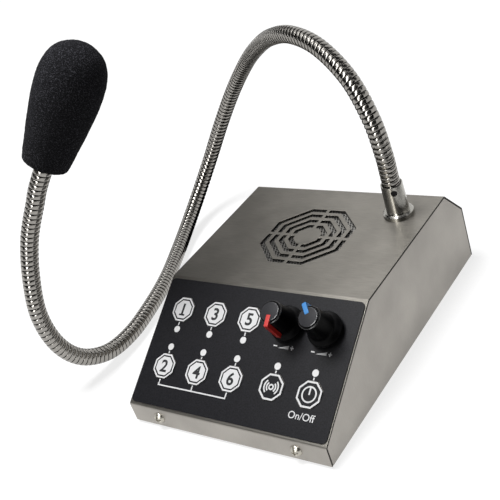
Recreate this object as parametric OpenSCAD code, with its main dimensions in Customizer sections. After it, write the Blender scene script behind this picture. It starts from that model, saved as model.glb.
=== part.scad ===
// Counter intercom station: folded steel case with a sloping key panel, a top speaker grille and a
// gooseneck microphone. The origin is on the table, under the middle of the case. +X is the right of
// the panel, +Y runs to the rear wall and +Z is up. All sizes are in millimetres.

/* [Case] */
// Width of the case over its side walls
case_w = 130; // [120:1:150]
// Depth of the case from the front lip to the rear wall
case_d = 180; // [165:1:210]
// Height of the upright front lip
lip_h = 12.5; // [11:0.5:16]
// Length of the sloping panel, measured up the slope
slope_len = 78; // [74:1:90]
// Angle of the sloping panel to the table
slope_deg = 31; // [27:1:35]
// Depth of the rear slope behind the flat top
rear_run = 17; // [12:1:22]
// Height of the upright rear wall
rear_h = 33.5; // [30:0.5:40]
// Thickness of the case steel
sheet_t = 0.8; // [0.6:0.1:1.2]
// Outer radius of the folds
bend_r = 2; // [1.5:0.1:3]
// Open seam between the cover and the tray that nests in it
seam_gap = 0.3; // [0.2:0.1:0.6]
// Height of the tray's front and rear flanges
flange_h = 10; // [9:0.5:12]
// Thickness of the non-slip pad
pad_t = 1.5; // [1:0.1:3]
// Distance from the pad's edge to the tray's edge
pad_inset = 5; // [3:0.5:12]

/* [Front panel] */
// Thickness of the printed overlay
overlay_t = 0.6; // [0.4:0.1:0.8]
// Steel margin left above and below the overlay
overlay_margin = 0.8; // [0.4:0.1:2]
// Steel margin left at the sides of the overlay
overlay_side = 0.6; // [0.2:0.1:2]
// Corner radius of the overlay
overlay_r = 3; // [1:0.5:4]
// Spacing of the key columns
key_pitch = 23.3; // [21:0.1:25]
// Distance of the left key column from the left edge of the case
key_edge = 16.2; // [15:0.1:19]
// Distance of the call key's column from the right edge of the case
call_edge = 40.8; // [39:0.1:43]
// Height of the lower key row up the slope
low_row = 24.4; // [22:0.1:27]
// Height of the upper key row up the slope
high_row = 58.2; // [56:0.1:61]
// Height of the volume knobs up the slope
knob_row = 58.2; // [56:0.1:61]
// Height of the lower row of indicator windows
low_lamp_row = 35.8; // [34.5:0.1:37.5]
// Height of the upper row of indicator windows
high_lamp_row = 46.4; // [45:0.1:48]
// Diameter of an indicator window
window_d = 3.4; // [2.6:0.1:3.8]

/* [Keys] */
// Width of a key across its flats
key_af = 14.4; // [12:0.1:16]
// Thickness of a key's plate
key_t = 0.4; // [0.3:0.1:0.5]
// How far a key stands above the overlay
key_proud = 0.3; // [0.3:0.1:0.8]
// Travel of a key
key_travel = 0.3; // [0.2:0.05:0.35]
// Gap around a key in the overlay
key_gap = 0.3; // [0.2:0.1:0.6]
// Diameter of a key's stem
stem_d = 3.2; // [2.5:0.1:4]
// Gap around a key's stem
stem_gap = 0.4; // [0.3:0.1:0.8]

/* [Knobs] */
// Height of a knob with its cap disc
knob_h = 19; // [17:0.5:21]
// Gap from the overlay to the bottom of a knob
knob_lift = 2.6; // [2.4:0.1:3.4]
// Diameter of a knob's flared skirt
knob_skirt_d = 19.8; // [18.6:0.2:20.6]
// Height of a knob's flared skirt
knob_skirt_h = 4.5; // [3.5:0.5:6]
// Diameter of a knob's body above the skirt
knob_foot_d = 14.6; // [13.8:0.2:15.4]
// Diameter of a knob's top rim
knob_top_d = 12.6; // [12.2:0.2:13.4]
// Diameter of the cap disc
cap_d = 10.4; // [9.6:0.2:11]
// Thickness of the cap disc
cap_t = 1.4; // [1.2:0.1:2]
// Width of a pointer
pointer_w = 2.8; // [1.8:0.1:3]
// Depth of the pointer's groove
pointer_t = 0.8; // [0.6:0.1:1.4]
// Diameter of a volume shaft
shaft_d = 6; // [5:0.1:6.4]
// Diameter of the volume control's threaded bush
bush_d = 7; // [6.8:0.1:8]
// Diameter of the volume control's body
pot_d = 16; // [14:0.5:18]
// Depth of the volume control's body
pot_h = 8; // [6:0.5:10]
// Width of the bush nut across its flats
pot_nut_af = 10; // [9:0.5:12]
// Thickness of the bush nut
pot_nut_h = 1.8; // [1.5:0.1:2]

/* [Speaker] */
// Distance of the grille's centre behind the front fold
grille_back = 48.5; // [46:0.5:54]
// Width of the grille across its flats
grille_af = 53.4; // [50:0.2:56]
// Number of ring slots in the grille
grille_rings = 4; // [2:1:4]
// Spacing of the ring slots
ring_pitch = 5.3; // [4.8:0.1:5.8]
// Width of a ring slot
slot_w = 2.8; // [2:0.1:3]
// Width of the bridges across the slots
bridge_w = 2.2; // [1.6:0.1:3]
// Thickness of the mesh behind the grille
mesh_t = 0.5; // [0.3:0.1:0.8]
// Speaker plate outside the middles of its stud holes
speaker_edge = 4; // [3:0.5:6]
// Spacing of the speaker's four studs
stud_pitch = 46; // [44:0.5:48]
// Depth of the speaker's basket
basket_h = 14; // [10:0.5:16]
// Diameter of the speaker's magnet
magnet_d = 28; // [24:1:34]
// Height of the speaker's magnet
magnet_h = 8; // [6:0.5:9]

/* [Electronics] */
// Depth of the keypad board below the panel
board_drop = 8; // [7:0.5:9]
// Thickness of the boards
board_t = 1.6; // [1.2:0.1:2]
// Side of a key switch
switch_side = 6; // [5:0.5:7]
// Height of a key switch
switch_h = 3.5; // [3:0.1:4]
// Width of the amplifier board
amp_w = 80; // [60:1:90]
// Depth of the amplifier board
amp_d = 56; // [46:1:60]
// Height of the amplifier board's standoffs
amp_lift = 6; // [4:0.5:8]
// Diameter of the capacitors
capacitor_d = 10; // [8:0.5:12]
// Height of the capacitors
capacitor_h = 12; // [8:0.5:14]

/* [Rear sockets] */
// Distance of the power inlet from the left side of the case
inlet_side = 25; // [19:1:35]
// Distance of the line socket from the middle of the rear wall
socket_right = 18; // [10:1:30]
// Height of the sockets above the tray
socket_z = 20; // [17:0.5:21]
// Bore of the power inlet
inlet_bore_d = 6.4; // [5.5:0.1:7]
// Width of the line socket's mouth
mouth_w = 12; // [10:0.5:14]
// Height of the line socket's mouth
mouth_h = 8; // [6:0.5:9]
// Depth of the line socket's mouth
mouth_d = 13; // [10:0.5:15]

/* [Fasteners] */
// Thread diameter of the case screws
screw_d = 3.5; // [3:0.5:4]
// Head diameter of the case screws
head_d = 7; // [6:0.2:7.6]
// Head height of the case screws
head_h = 2.4; // [1.8:0.1:2.8]
// Distance of the case screws from the middle of the case
screw_side = 45.5; // [40:0.5:50]
// Height of the case screws above the tray's underside
screw_z = 6; // [5:0.1:6.4]
// Thread diameter of the board screws
small_screw_d = 2.5; // [2:0.1:3]
// Radial clearance of a screw in its thread
thread_fit = 0.05; // [0.03:0.01:0.1]
// Radial clearance of a screw in a plain hole
hole_fit = 0.2; // [0.1:0.05:0.4]

/* [Gooseneck] */
// Distance of the collar from the right side of the case
collar_side = 19; // [16:0.5:24]
// Distance of the collar in front of the rear fold
collar_front = 20; // [16:0.5:26]
// Height of the collar above the top
collar_h = 20.5; // [18:0.5:24]
// Diameter of the collar's tube
collar_d = 13.2; // [12.8:0.1:14.4]
// Diameter of the collar's mouth
collar_top_d = 12.4; // [12.2:0.1:13]
// Diameter of the collar's flange
collar_flange_d = 17.6; // [16:0.2:20]
// Thickness of the collar's flange
collar_flange_h = 3.4; // [2:0.1:4.5]
// Diameter of the hose over its ribs
hose_d = 10.8; // [10:0.1:11.2]
// Depth of the grooves between the ribs
groove_depth = 0.6; // [0.3:0.1:0.7]
// Bore of the hose
hose_bore_d = 6.4; // [5:0.1:6.6]
// Spacing of the ribs along the hose
rib_pitch = 3.45; // [3.4:0.05:4]
// Radial gap around the hose in the collar and in the ferrule
hose_gap = 0.2; // [0.1:0.05:0.3]
// Depth of the hose in the collar
hose_seat = 10.5; // [8:0.5:12]
// Grid step that the gooseneck's bend points are set out on
route_grid = 10; // [8:0.1:10.4]

/* [Microphone] */
// Length of the foam windscreen
foam_l = 72.5; // [65:0.5:80]
// Largest diameter of the windscreen
foam_d = 38.2; // [34:0.2:42]
// Diameter of the windscreen at its mouth
foam_mouth_d = 27; // [24:0.2:30]
// Distance of the largest diameter from the mouth
foam_waist = 43; // [38:0.5:46]
// Radius of the windscreen's rounded mouth edge
foam_edge_r = 2; // [1:0.5:3]
// Wall of the microphone ferrule
ferrule_wall = 1; // [0.8:0.1:1.4]
// Length of the microphone ferrule
ferrule_l = 14; // [12:0.5:18]
// Diameter of the microphone capsule
capsule_d = 9.8; // [8:0.1:10]
// Length of the microphone capsule
capsule_l = 26; // [20:1:32]

/* [Hidden] */
$fn = 64;
eps = 0.01;

// Outline of the case, from the lip's foot over the top to the rear wall's foot
case_z = pad_t;
front_y = -case_d / 2;
rear_y = case_d / 2;
fold_y = front_y + slope_len * cos(slope_deg);
top_z = case_z + lip_h + slope_len * sin(slope_deg);
rear_fold_y = rear_y - rear_run;
case_line = [
  [front_y, case_z],
  [front_y, case_z + lip_h],
  [fold_y, top_z],
  [rear_fold_y, top_z],
  [rear_y, case_z + rear_h],
  [rear_y, case_z]
];
bend_steps = 8;
fold_r = max(bend_r, sheet_t + seam_gap + 0.2);
inner_w = case_w - 2 * sheet_t;
tray_front_y = front_y + sheet_t + seam_gap;
tray_rear_y = rear_y - sheet_t - seam_gap;
floor_z = case_z + sheet_t;
ceiling_z = top_z - sheet_t;

// Places on the sloping panel, as [across, up the slope]
key_left = case_w / 2 - key_edge;
call_right = case_w / 2 - call_edge;
columns = [-key_left, key_pitch - key_left, 2 * key_pitch - key_left, call_right, call_right + key_pitch];
key_places = [
  [columns[0], high_row], [columns[0], low_row], [columns[1], high_row], [columns[1], low_row],
  [columns[2], high_row], [columns[2], low_row], [columns[3], low_row], [columns[4], low_row]
];
lamp_places = [for (k = key_places) [k[0], k[1] == high_row ? high_lamp_row : low_lamp_row]];
knob_places = [[columns[3], knob_row], [columns[4], knob_row]];
overlay_w = case_w - 2 * overlay_side;
overlay_h = slope_len - 2 * (overlay_margin + fold_r / 2);
overlay_base = overlay_margin + fold_r / 2;

// Keys, switches and the keypad board, heights measured out from the panel's steel
key_top = overlay_t + key_proud;
key_under = key_top - key_t;
stem_reach = 0.6;
stem_tip = switch_h - board_drop - stem_reach;
pocket_depth = stem_reach + key_travel + stem_gap / 2;
board_edge = 7;
board_low = low_row - switch_side / 2 - board_edge - 2;
board_high = high_row + switch_side / 2 + board_edge / 2;
board_half_w = key_left + board_edge;
notch_left = call_right - pot_d / 2 - 2;
notch_low = knob_row - pot_d / 2 - 2;
standoff_d = 5;
standoff_l = board_drop - sheet_t;
standoff_places = [
  [-board_half_w + standoff_d, board_low + standoff_d - 1],
  [board_half_w - standoff_d, board_low + standoff_d - 1],
  [-board_half_w + standoff_d, (low_lamp_row + high_lamp_row) / 2],
  [notch_left - standoff_d, (low_lamp_row + high_lamp_row) / 2]
];
lamp_d = window_d;
lamp_gap = 0.4;
window_fit = 0.05;
window_seat = 0.4;

// Volume knobs and their controls
knob_base = overlay_t + knob_lift;
knob_top = knob_base + knob_h;
bush_top = knob_base - 0.4;
shaft_top = knob_top - cap_t - 3;
shaft_fit = 0.05;
pot_wall = 2;
cap_rise = 0.8;
rim_h = knob_h - cap_rise;
knob_edge_h = 1.5;
pointer_proud = 2.2;
pointer_rise = 0.3;
pointer_start = 1.8;
pointer_lift = 0.3;
outside_turn = 4;
inside_turn = -145;

// Speaker stack, downwards from the underside of the top
grille_y = fold_y + grille_back;
mesh_af = grille_af + 2;
frame_t = 1.4;
frame_z = ceiling_z - mesh_t - frame_t;
basket_wall = 1;
basket_edge = 3;
speaker_side = stud_pitch + 2 * speaker_edge;
basket_mouth_d = speaker_side - 2 * basket_edge;
basket_foot_d = magnet_d - 2;
stud_reach = 4.5;
stud_l = mesh_t + frame_t + stud_reach;
nut_af = 5.5;
nut_h = 2.4;
cone_t = 0.6;
cone_gap = 0.3;
cone_eye_d = 9;
cone_h = 8;
magnet_z = frame_z - basket_h - magnet_h;

// Amplifier board on the tray
amp_back = 20;
amp_y = rear_y - amp_back - amp_d / 2;
amp_z = floor_z + amp_lift;
amp_hole_inset = 4;
amp_places = [
  for (sx = [-1, 1], sy = [-1, 1])
    [sx * (amp_w / 2 - amp_hole_inset), amp_y + sy * (amp_d / 2 - amp_hole_inset)]
];
capacitor_back = 10;
capacitor_gap = 3;
capacitor_places = [
  for (i = [0, 1]) [-amp_w / 4 + i * (capacitor_d + capacitor_gap), amp_y - capacitor_back]
];

// Sockets in the rear wall
socket_wall = 1.5;
socket_lip = 1.2;
inlet_d = inlet_bore_d + 2 * socket_wall;
inlet_flange_d = inlet_d + 3;
inlet_l = 12;
inlet_pin_d = 2;
inlet_left = case_w / 2 - inlet_side;
socket_w = mouth_w + 2 * socket_wall;
socket_h = mouth_h + 2 * socket_wall;
socket_fit = 0.15;

// Fasteners
nut_d = 6;
clinch_l = 3;
case_screw_l = 7;
recess_w = 0.8;
recess_depth = 1;
small_head_d = 4.4;
small_head_h = 1.6;
small_screw_l = 5;

// Collar and hose. The hose follows the bends below, in grid steps from the foot of the collar
collar_x = case_w / 2 - collar_side;
collar_y = rear_fold_y - collar_front;
collar_foot = [collar_x, collar_y, top_z];
collar_bore_d = hose_d + 2 * hose_gap;
collar_edge = 1;
collar_thread_d = 11.6;
collar_thread_l = 8;
collar_thread_fit = 0.1;
collar_nut_af = 16;
collar_nut_h = 3;
set_screw_d = 3.6;
set_screw_drop = 3.5;
set_screw_z = collar_h - set_screw_drop;
set_screw_turn = -57;
bends = [
  [0, 0, 2.6], [0, 0, 3.9], [-0.4, 0.3, 5.9], [-1.6, 1, 8], [-3.6, 1.9, 9.5], [-5.9, 2.9, 9.9],
  [-8.4, 4.3, 9.2], [-11, 6.1, 7.8], [-13.6, 7.7, 6], [-16, 8.4, 3.7], [-17.9, 8.2, 1.2],
  [-19.3, 7.3, -1.3], [-19.9, 5.4, -3.3], [-19.6, 2.9, -4.4], [-18.6, 0.1, -4.7],
  [-17.4, -2.9, -4.7], [-16.6, -5.8, -4.7], [-16.2, -8.3, -4.7], [-16.2, -10.5, -4.4],
  [-16.5, -12.2, -3.4], [-16.8, -13.1, -1.7], [-17, -13.2, 0.5], [-16.9, -12.6, 2.8],
  [-16.5, -11.8, 5], [-15.7, -11, 6.9], [-15.3, -10.6, 7.8], [-14.54, -9.96, 9.08], [-14.17, -9.64, 9.7]
];
hose_sides = 8;
route_steps = 12;
side_hint = [0.9, 0.43, 0];
bore_stride = 2;
joint_gap = 0.1;

// Stretches of the hose by their share of its length: rigid ones, and the bends between them
foot_end = 0.03;
rise_start = 0.09;
rise_end = 0.15;
fall_start = 0.225;
run_start = 0.48;
run_end = 0.735;
front_start = 0.825;
front_end = 0.915;
tip_start = 0.96;

// The route: a smooth curve through the points, and its running length
hose_points = concat([[0, 0, collar_h - hose_seat]], route_grid * bends);
route = [for (p = hose_points) collar_foot + p];
route_ends = concat(
  [2 * route[0] - route[1]], route, [2 * route[len(route) - 1] - route[len(route) - 2]]
);
function through(a, b, c, d, u) = 0.5 * (
  2 * b + (c - a) * u + (2 * a - 5 * b + 4 * c - d) * u * u + (3 * b - a - 3 * c + d) * u * u * u
);
path = [
  for (i = [1:len(route_ends) - 3], j = [0:route_steps - 1])
    through(route_ends[i - 1], route_ends[i], route_ends[i + 1], route_ends[i + 2], j / route_steps),
  route[len(route) - 1]
];
run_lengths = [
  for (i = 0, s = 0; i < len(path); i = i + 1, s = s + (i < len(path) ? norm(path[i] - path[i - 1]) : 0))
    s
];
hose_l = run_lengths[len(path) - 1];
tables = [for (axis = [0:2]) [for (i = [0:len(path) - 1]) [run_lengths[i], path[i][axis]]]];
function path_point(s) = [lookup(s, tables[0]), lookup(s, tables[1]), lookup(s, tables[2])];
function path_way(s) = unit(
  path_point(min(s + rib_pitch / 2, hose_l)) - path_point(max(s - rib_pitch / 2, 0))
);

// Microphone: its axis is the hose's last direction
tip_way = unit(route[len(route) - 1] - route[len(route) - 2]);
foam_lap = 9.5;
foam_foot = route[len(route) - 1] - foam_lap * tip_way;
ferrule_bore_d = hose_d + 2 * hose_gap;
ferrule_d = ferrule_bore_d + 2 * ferrule_wall;
ferrule_start = 0.5;
ferrule_floor = 2;
foam_gap = 0.2;
foam_round = 0.9;
capsule_slot_w = 1;
capsule_slots = 6;

function unit(v) = v / norm(v);
function inward(a, b) = let (d = unit(b - a)) [d[1], -d[0]];
function bend(a, b, c, r, off) =
  let (n1 = inward(a, b), n2 = inward(b, c), centre = b + r * (n1 + n2) / (1 + n1 * n2))
  [for (k = [0:bend_steps]) let (u = k / bend_steps) centre - (r - off) * unit(n1 * (1 - u) + n2 * u)];
function folded(p, r, off) = let (n = len(p) - 1) concat(
  [p[0] + off * inward(p[0], p[1])],
  [for (i = [1:n - 1]) each bend(p[i - 1], p[i], p[i + 1], r, off)],
  [p[n] + off * inward(p[n - 1], p[n])]
);
function reversed(p) = [for (i = [len(p) - 1:-1:0]) p[i]];

// Places a shape that is drawn in the side view, with its thickness across the case
module across(w) {
  translate([-w / 2, 0, 0]) rotate([90, 0, 90]) linear_extrude(w) children();
}

// Places children on the sloping panel: across, up the slope and out from the steel
module on_panel(place, out = 0) {
  translate([0, front_y, case_z + lip_h])
    rotate([slope_deg, 0, 0]) translate([place[0], place[1], out]) children();
}

// Places children at a case screw, with their Z axis pointing out of the case
module at_case_screws(rear) {
  for (side = [-1, 1])
    translate([side * screw_side, rear ? rear_y : front_y, case_z + screw_z])
      rotate([rear ? -90 : 90, 0, 0]) children();
}

module on_rear(x) {
  translate([x, rear_y, case_z + socket_z]) rotate([-90, 0, 0]) children();
}

module at_microphone() {
  translate(foam_foot)
    rotate([0, acos(tip_way[2]), atan2(tip_way[1], tip_way[0])]) children();
}

module octagon(af) {
  rotate(180 / 8) circle(d = af / cos(180 / 8), $fn = 8);
}

module hexagon(af) {
  circle(d = af / cos(180 / 6), $fn = 6);
}

module rounded_square(w, h, r) {
  square([w - 2 * r, h], center = true);
  square([w, h - 2 * r], center = true);
  for (sx = [-1, 1], sy = [-1, 1])
    translate([sx * (w / 2 - r), sy * (h / 2 - r)]) circle(r);
}

module washer_disc(outer_d, inner_d, h) {
  difference() {
    cylinder(d = outer_d, h = h);
    translate([0, 0, -eps]) cylinder(d = inner_d, h = h + 2 * eps);
  }
}

// Pan-head screw with a cross recess, its head above the origin plane
module pan_screw(d, cap_d, cap_h, l) {
  dome_r = (cap_d * cap_d / 4 + cap_h * cap_h) / (2 * cap_h);
  difference() {
    union() {
      intersection() {
        cylinder(d = cap_d, h = cap_h);
        translate([0, 0, cap_h - dome_r]) sphere(dome_r);
      }
      translate([0, 0, -l]) cylinder(d = d - 2 * thread_fit, h = l + eps);
    }
    for (turn = [0, 90])
      rotate(turn) translate([0, 0, cap_h]) cube([cap_d * 0.6, recess_w, 2 * recess_depth], center = true);
  }
}

module base_pad() {
  color("#1c1c1e")
    linear_extrude(pad_t) rounded_square(inner_w - 2 * pad_inset, case_d - 4 * pad_inset, pad_inset);
}

module tray_flange(y) {
  translate([-inner_w / 2, y, case_z]) cube([inner_w, sheet_t, flange_h]);
}

module base_tray() {
  color("#a09c94") difference() {
    union() {
      for (side = [-1, 1])
        translate([side * (case_w - sheet_t) / 2, 0, 0]) across(sheet_t)
          polygon(folded(case_line, fold_r, sheet_t + seam_gap));
      translate([-case_w / 2, tray_front_y, case_z]) cube([case_w, tray_rear_y - tray_front_y, sheet_t]);
      tray_flange(tray_front_y);
      tray_flange(tray_rear_y - sheet_t);
    }
    for (rear = [false, true])
      at_case_screws(rear)
        translate([0, 0, -4 * sheet_t]) cylinder(d = screw_d + 2 * hole_fit, h = 4 * sheet_t);
  }
}

module clinch_nuts() {
  color("silver")
    for (rear = [false, true])
      at_case_screws(rear)
        translate([0, 0, -2 * sheet_t - seam_gap - clinch_l]) washer_disc(nut_d, screw_d, clinch_l);
}

module grille_slots() {
  for (ring = [0:grille_rings - 1]) {
    outer_af = grille_af - 2 * ring * ring_pitch;
    difference() {
      octagon(outer_af);
      octagon(outer_af - 2 * slot_w);
      square([grille_af + slot_w, bridge_w], center = true);
      square([bridge_w, grille_af + slot_w], center = true);
    }
  }
}

module top_cover() {
  color("#a8a49c") difference() {
    across(case_w)
      polygon(concat(folded(case_line, fold_r, 0), reversed(folded(case_line, fold_r, sheet_t))));
    for (rear = [false, true])
      at_case_screws(rear)
        translate([0, 0, -2 * sheet_t]) cylinder(d = screw_d + 2 * hole_fit, h = 3 * sheet_t);
    for (k = key_places)
      on_panel(k, -2 * sheet_t) cylinder(d = stem_d + 2 * stem_gap, h = 3 * sheet_t);
    for (l = lamp_places)
      on_panel(l, -2 * sheet_t) cylinder(d = window_d - 2 * window_seat, h = 3 * sheet_t);
    for (k = knob_places)
      on_panel(k, -2 * sheet_t) cylinder(d = bush_d + 2 * hole_fit, h = 3 * sheet_t);
    translate([0, grille_y, ceiling_z - sheet_t]) linear_extrude(3 * sheet_t) grille_slots();
    translate([collar_x, collar_y, ceiling_z - sheet_t])
      cylinder(d = collar_thread_d + 2 * hole_fit, h = 3 * sheet_t);
    on_rear(-inlet_left)
      translate([0, 0, -2 * sheet_t]) cylinder(d = inlet_d + 2 * hole_fit, h = 3 * sheet_t);
    on_rear(socket_right)
      cube([socket_w + 2 * socket_fit, socket_h + 2 * socket_fit, 4 * sheet_t], center = true);
  }
}

module front_screws() {
  color("#c8c6c0") at_case_screws(false) pan_screw(screw_d, head_d, head_h, case_screw_l);
}

module rear_screws() {
  color("#c8c6c0") at_case_screws(true) pan_screw(screw_d, head_d, head_h, case_screw_l);
}

module front_overlay() {
  color("#26262a")
    on_panel([0, overlay_base + overlay_h / 2]) difference() {
      linear_extrude(overlay_t) rounded_square(overlay_w, overlay_h, overlay_r);
      translate([0, -overlay_base - overlay_h / 2, -eps]) linear_extrude(overlay_t + 2 * eps) {
        for (k = key_places) translate(k) octagon(key_af + 2 * key_gap);
        for (l = lamp_places) translate(l) circle(d = window_d + 2 * window_fit);
        for (k = knob_places) translate(k) circle(d = bush_d + 2 * hole_fit);
      }
    }
}

module indicator_windows() {
  color("#f0f0ee") for (l = lamp_places) on_panel(l) cylinder(d = window_d, h = overlay_t);
}

// A key's plate rests above the overlay's opening, and its stem reaches into the switch below
module key(place) {
  color("#2c2c30") on_panel(place) {
    translate([0, 0, key_under]) linear_extrude(key_t) octagon(key_af);
    translate([0, 0, stem_tip]) cylinder(d = stem_d, h = key_under - stem_tip + eps);
  }
}

module keypad_board() {
  color("#1f5a36") on_panel([0, 0], -board_drop - board_t) difference() {
    translate([-board_half_w, board_low, 0]) cube([2 * board_half_w, board_high - board_low, board_t]);
    translate([notch_left, notch_low, -eps]) cube([board_half_w * 2, board_high, board_t + 2 * eps]);
    for (p = standoff_places)
      translate([p[0], p[1], -eps]) cylinder(d = small_screw_d + 2 * hole_fit, h = board_t + 2 * eps);
  }
}

module key_switches() {
  color("#303034")
    for (k = key_places) on_panel(k, -board_drop) difference() {
      translate([-switch_side / 2, -switch_side / 2, 0]) cube([switch_side, switch_side, switch_h]);
      translate([0, 0, switch_h - pocket_depth])
        cylinder(d = stem_d + 2 * stem_gap, h = pocket_depth + eps);
    }
}

module indicator_lamps() {
  lamp_h = board_drop - sheet_t - lamp_gap;
  color("#d8d8d4")
    for (l = lamp_places) on_panel(l, -board_drop) {
      cylinder(d = lamp_d, h = lamp_h - lamp_d / 2);
      translate([0, 0, lamp_h - lamp_d / 2]) sphere(d = lamp_d);
    }
}

module board_standoffs() {
  color("silver")
    for (p = standoff_places) on_panel(p, -board_drop) difference() {
      cylinder(d = standoff_d, h = standoff_l, $fn = 6);
      translate([0, 0, -eps]) cylinder(d = small_screw_d, h = small_screw_l);
    }
}

module board_screws() {
  color("silver")
    for (p = standoff_places) on_panel(p, -board_drop - board_t)
      rotate([180, 0, 0]) pan_screw(small_screw_d, small_head_d, small_head_h, small_screw_l);
}

module volume_controls() {
  color("#8f8a80")
    for (k = knob_places) on_panel(k) difference() {
      union() {
        translate([0, 0, -sheet_t - pot_h]) cylinder(d = pot_d, h = pot_h);
        translate([0, 0, -sheet_t - eps]) cylinder(d = bush_d, h = bush_top + sheet_t + eps);
      }
      translate([0, 0, -sheet_t - pot_h + pot_wall])
        cylinder(d = shaft_d + 2 * shaft_fit, h = pot_h + bush_top + sheet_t);
    }
}

module volume_nuts() {
  color("silver")
    for (k = knob_places) on_panel(k, overlay_t) difference() {
      linear_extrude(pot_nut_h) hexagon(pot_nut_af);
      translate([0, 0, -eps]) cylinder(d = bush_d + 2 * thread_fit, h = pot_nut_h + 2 * eps);
    }
}

module volume_shaft(place) {
  shaft_foot = -sheet_t - pot_h + pot_wall + shaft_fit;
  color("#b8b2a4") on_panel(place, shaft_foot) cylinder(d = shaft_d, h = shaft_top - shaft_foot);
}

// A pointer and its groove run from near the cap's middle to the rim and down the side. Out and rise are
// how far the shape stands beyond the side and above the cap
module pointer_shape(w, out, rise) {
  top_r = knob_top_d / 2;
  foot_r = knob_foot_d / 2;
  foot_z = knob_skirt_h + pointer_lift;
  translate([w / 2, 0, 0]) rotate([90, 0, -90]) linear_extrude(w) polygon([
    [pointer_start, knob_h - cap_t], [pointer_start, knob_h + rise], [top_r + out, knob_h + rise],
    [foot_r + out, foot_z], [foot_r - pointer_t, foot_z], [top_r - pointer_t, knob_h - cap_t]
  ]);
}

module knob_body() {
  difference() {
    union() {
      cylinder(d = knob_skirt_d, h = knob_edge_h);
      translate([0, 0, knob_edge_h - eps])
        cylinder(d1 = knob_skirt_d, d2 = knob_foot_d, h = knob_skirt_h - knob_edge_h + eps);
      translate([0, 0, knob_skirt_h - eps])
        cylinder(d1 = knob_foot_d, d2 = knob_top_d, h = rim_h - knob_skirt_h + eps);
    }
    translate([0, 0, -eps]) cylinder(d = shaft_d + 2 * shaft_fit, h = shaft_top - knob_base + shaft_fit);
    translate([0, 0, knob_h - cap_t]) cylinder(d = cap_d + 2 * hole_fit, h = cap_t + eps);
    pointer_shape(pointer_w + 2 * shaft_fit, eps, eps);
  }
}

module volume_knob(place, turn) {
  color("#121214") on_panel(place, knob_base) rotate(turn) knob_body();
}

module knob_cap(place, turn) {
  color("#4a4a4e") on_panel(place, knob_base) rotate(turn) difference() {
    translate([0, 0, knob_h - cap_t]) cylinder(d = cap_d, h = cap_t);
    pointer_shape(pointer_w + 2 * shaft_fit, eps, eps);
  }
}

module knob_pointer(place, turn, tint) {
  color(tint) on_panel(place, knob_base) rotate(turn) pointer_shape(pointer_w, pointer_proud, pointer_rise);
}

module grille_mesh() {
  color("#77736c") translate([0, grille_y, ceiling_z - mesh_t]) linear_extrude(mesh_t) octagon(mesh_af);
}

module at_studs() {
  for (sx = [-1, 1], sy = [-1, 1])
    translate([sx * stud_pitch / 2, grille_y + sy * stud_pitch / 2, 0]) children();
}

module basket_shape(shrink) {
  translate([0, 0, -basket_h])
    cylinder(d1 = basket_foot_d - 2 * shrink, d2 = basket_mouth_d - 2 * shrink, h = basket_h + eps);
}

module speaker_frame() {
  color("#26282a") difference() {
    translate([0, grille_y, frame_z]) difference() {
      union() {
        linear_extrude(frame_t) rounded_square(speaker_side, speaker_side, frame_t * 2);
        basket_shape(0);
      }
      translate([0, 0, basket_wall]) basket_shape(basket_wall);
      translate([0, 0, -eps]) cylinder(d = basket_mouth_d - 2 * basket_wall, h = frame_t + 2 * eps);
    }
    at_studs() translate([0, 0, frame_z - eps]) cylinder(d = screw_d + 2 * hole_fit, h = frame_t + 2 * eps);
  }
}

module speaker_cone() {
  cone_d = basket_mouth_d - 2 * (basket_wall + cone_gap);
  color("#17171a") translate([0, grille_y, frame_z - cone_h]) difference() {
    cylinder(d1 = cone_eye_d, d2 = cone_d, h = cone_h + frame_t);
    translate([0, 0, cone_t]) cylinder(d1 = cone_eye_d, d2 = cone_d, h = cone_h + frame_t);
  }
}

module speaker_magnet() {
  color("#3b3b3e") translate([0, grille_y, magnet_z]) cylinder(d = magnet_d, h = magnet_h);
}

module speaker_studs() {
  color("silver") at_studs() translate([0, 0, ceiling_z - stud_l]) cylinder(d = screw_d, h = stud_l);
}

module speaker_nuts() {
  color("silver") at_studs() translate([0, 0, frame_z - nut_h]) difference() {
    linear_extrude(nut_h) hexagon(nut_af);
    translate([0, 0, -eps]) cylinder(d = screw_d + 2 * thread_fit, h = nut_h + 2 * eps);
  }
}

module amplifier_board() {
  color("#1f5a36") difference() {
    translate([-amp_w / 2, amp_y - amp_d / 2, amp_z]) cube([amp_w, amp_d, board_t]);
    for (p = amp_places)
      translate([p[0], p[1], amp_z - eps])
        cylinder(d = small_screw_d + 2 * hole_fit, h = board_t + 2 * eps);
  }
}

module amplifier_standoffs() {
  color("silver")
    for (p = amp_places) translate([p[0], p[1], floor_z]) difference() {
      cylinder(d = standoff_d, h = amp_lift, $fn = 6);
      translate([0, 0, -eps]) cylinder(d = small_screw_d, h = amp_lift + 2 * eps);
    }
}

module amplifier_screws() {
  color("silver")
    for (p = amp_places) translate([p[0], p[1], amp_z + board_t])
      pan_screw(small_screw_d, small_head_d, small_head_h, small_screw_l);
}

module capacitors() {
  color("#20304a")
    for (p = capacitor_places)
      translate([p[0], p[1], amp_z + board_t]) cylinder(d = capacitor_d, h = capacitor_h);
}

module power_inlet() {
  color("#151517") on_rear(-inlet_left) {
    difference() {
      union() {
        translate([0, 0, -inlet_l]) cylinder(d = inlet_d, h = inlet_l + eps);
        cylinder(d = inlet_flange_d, h = socket_lip);
      }
      translate([0, 0, -inlet_l + socket_wall]) cylinder(d = inlet_bore_d, h = inlet_l + socket_lip);
    }
    translate([0, 0, -inlet_l]) cylinder(d = inlet_pin_d, h = inlet_l - socket_lip);
  }
}

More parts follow.
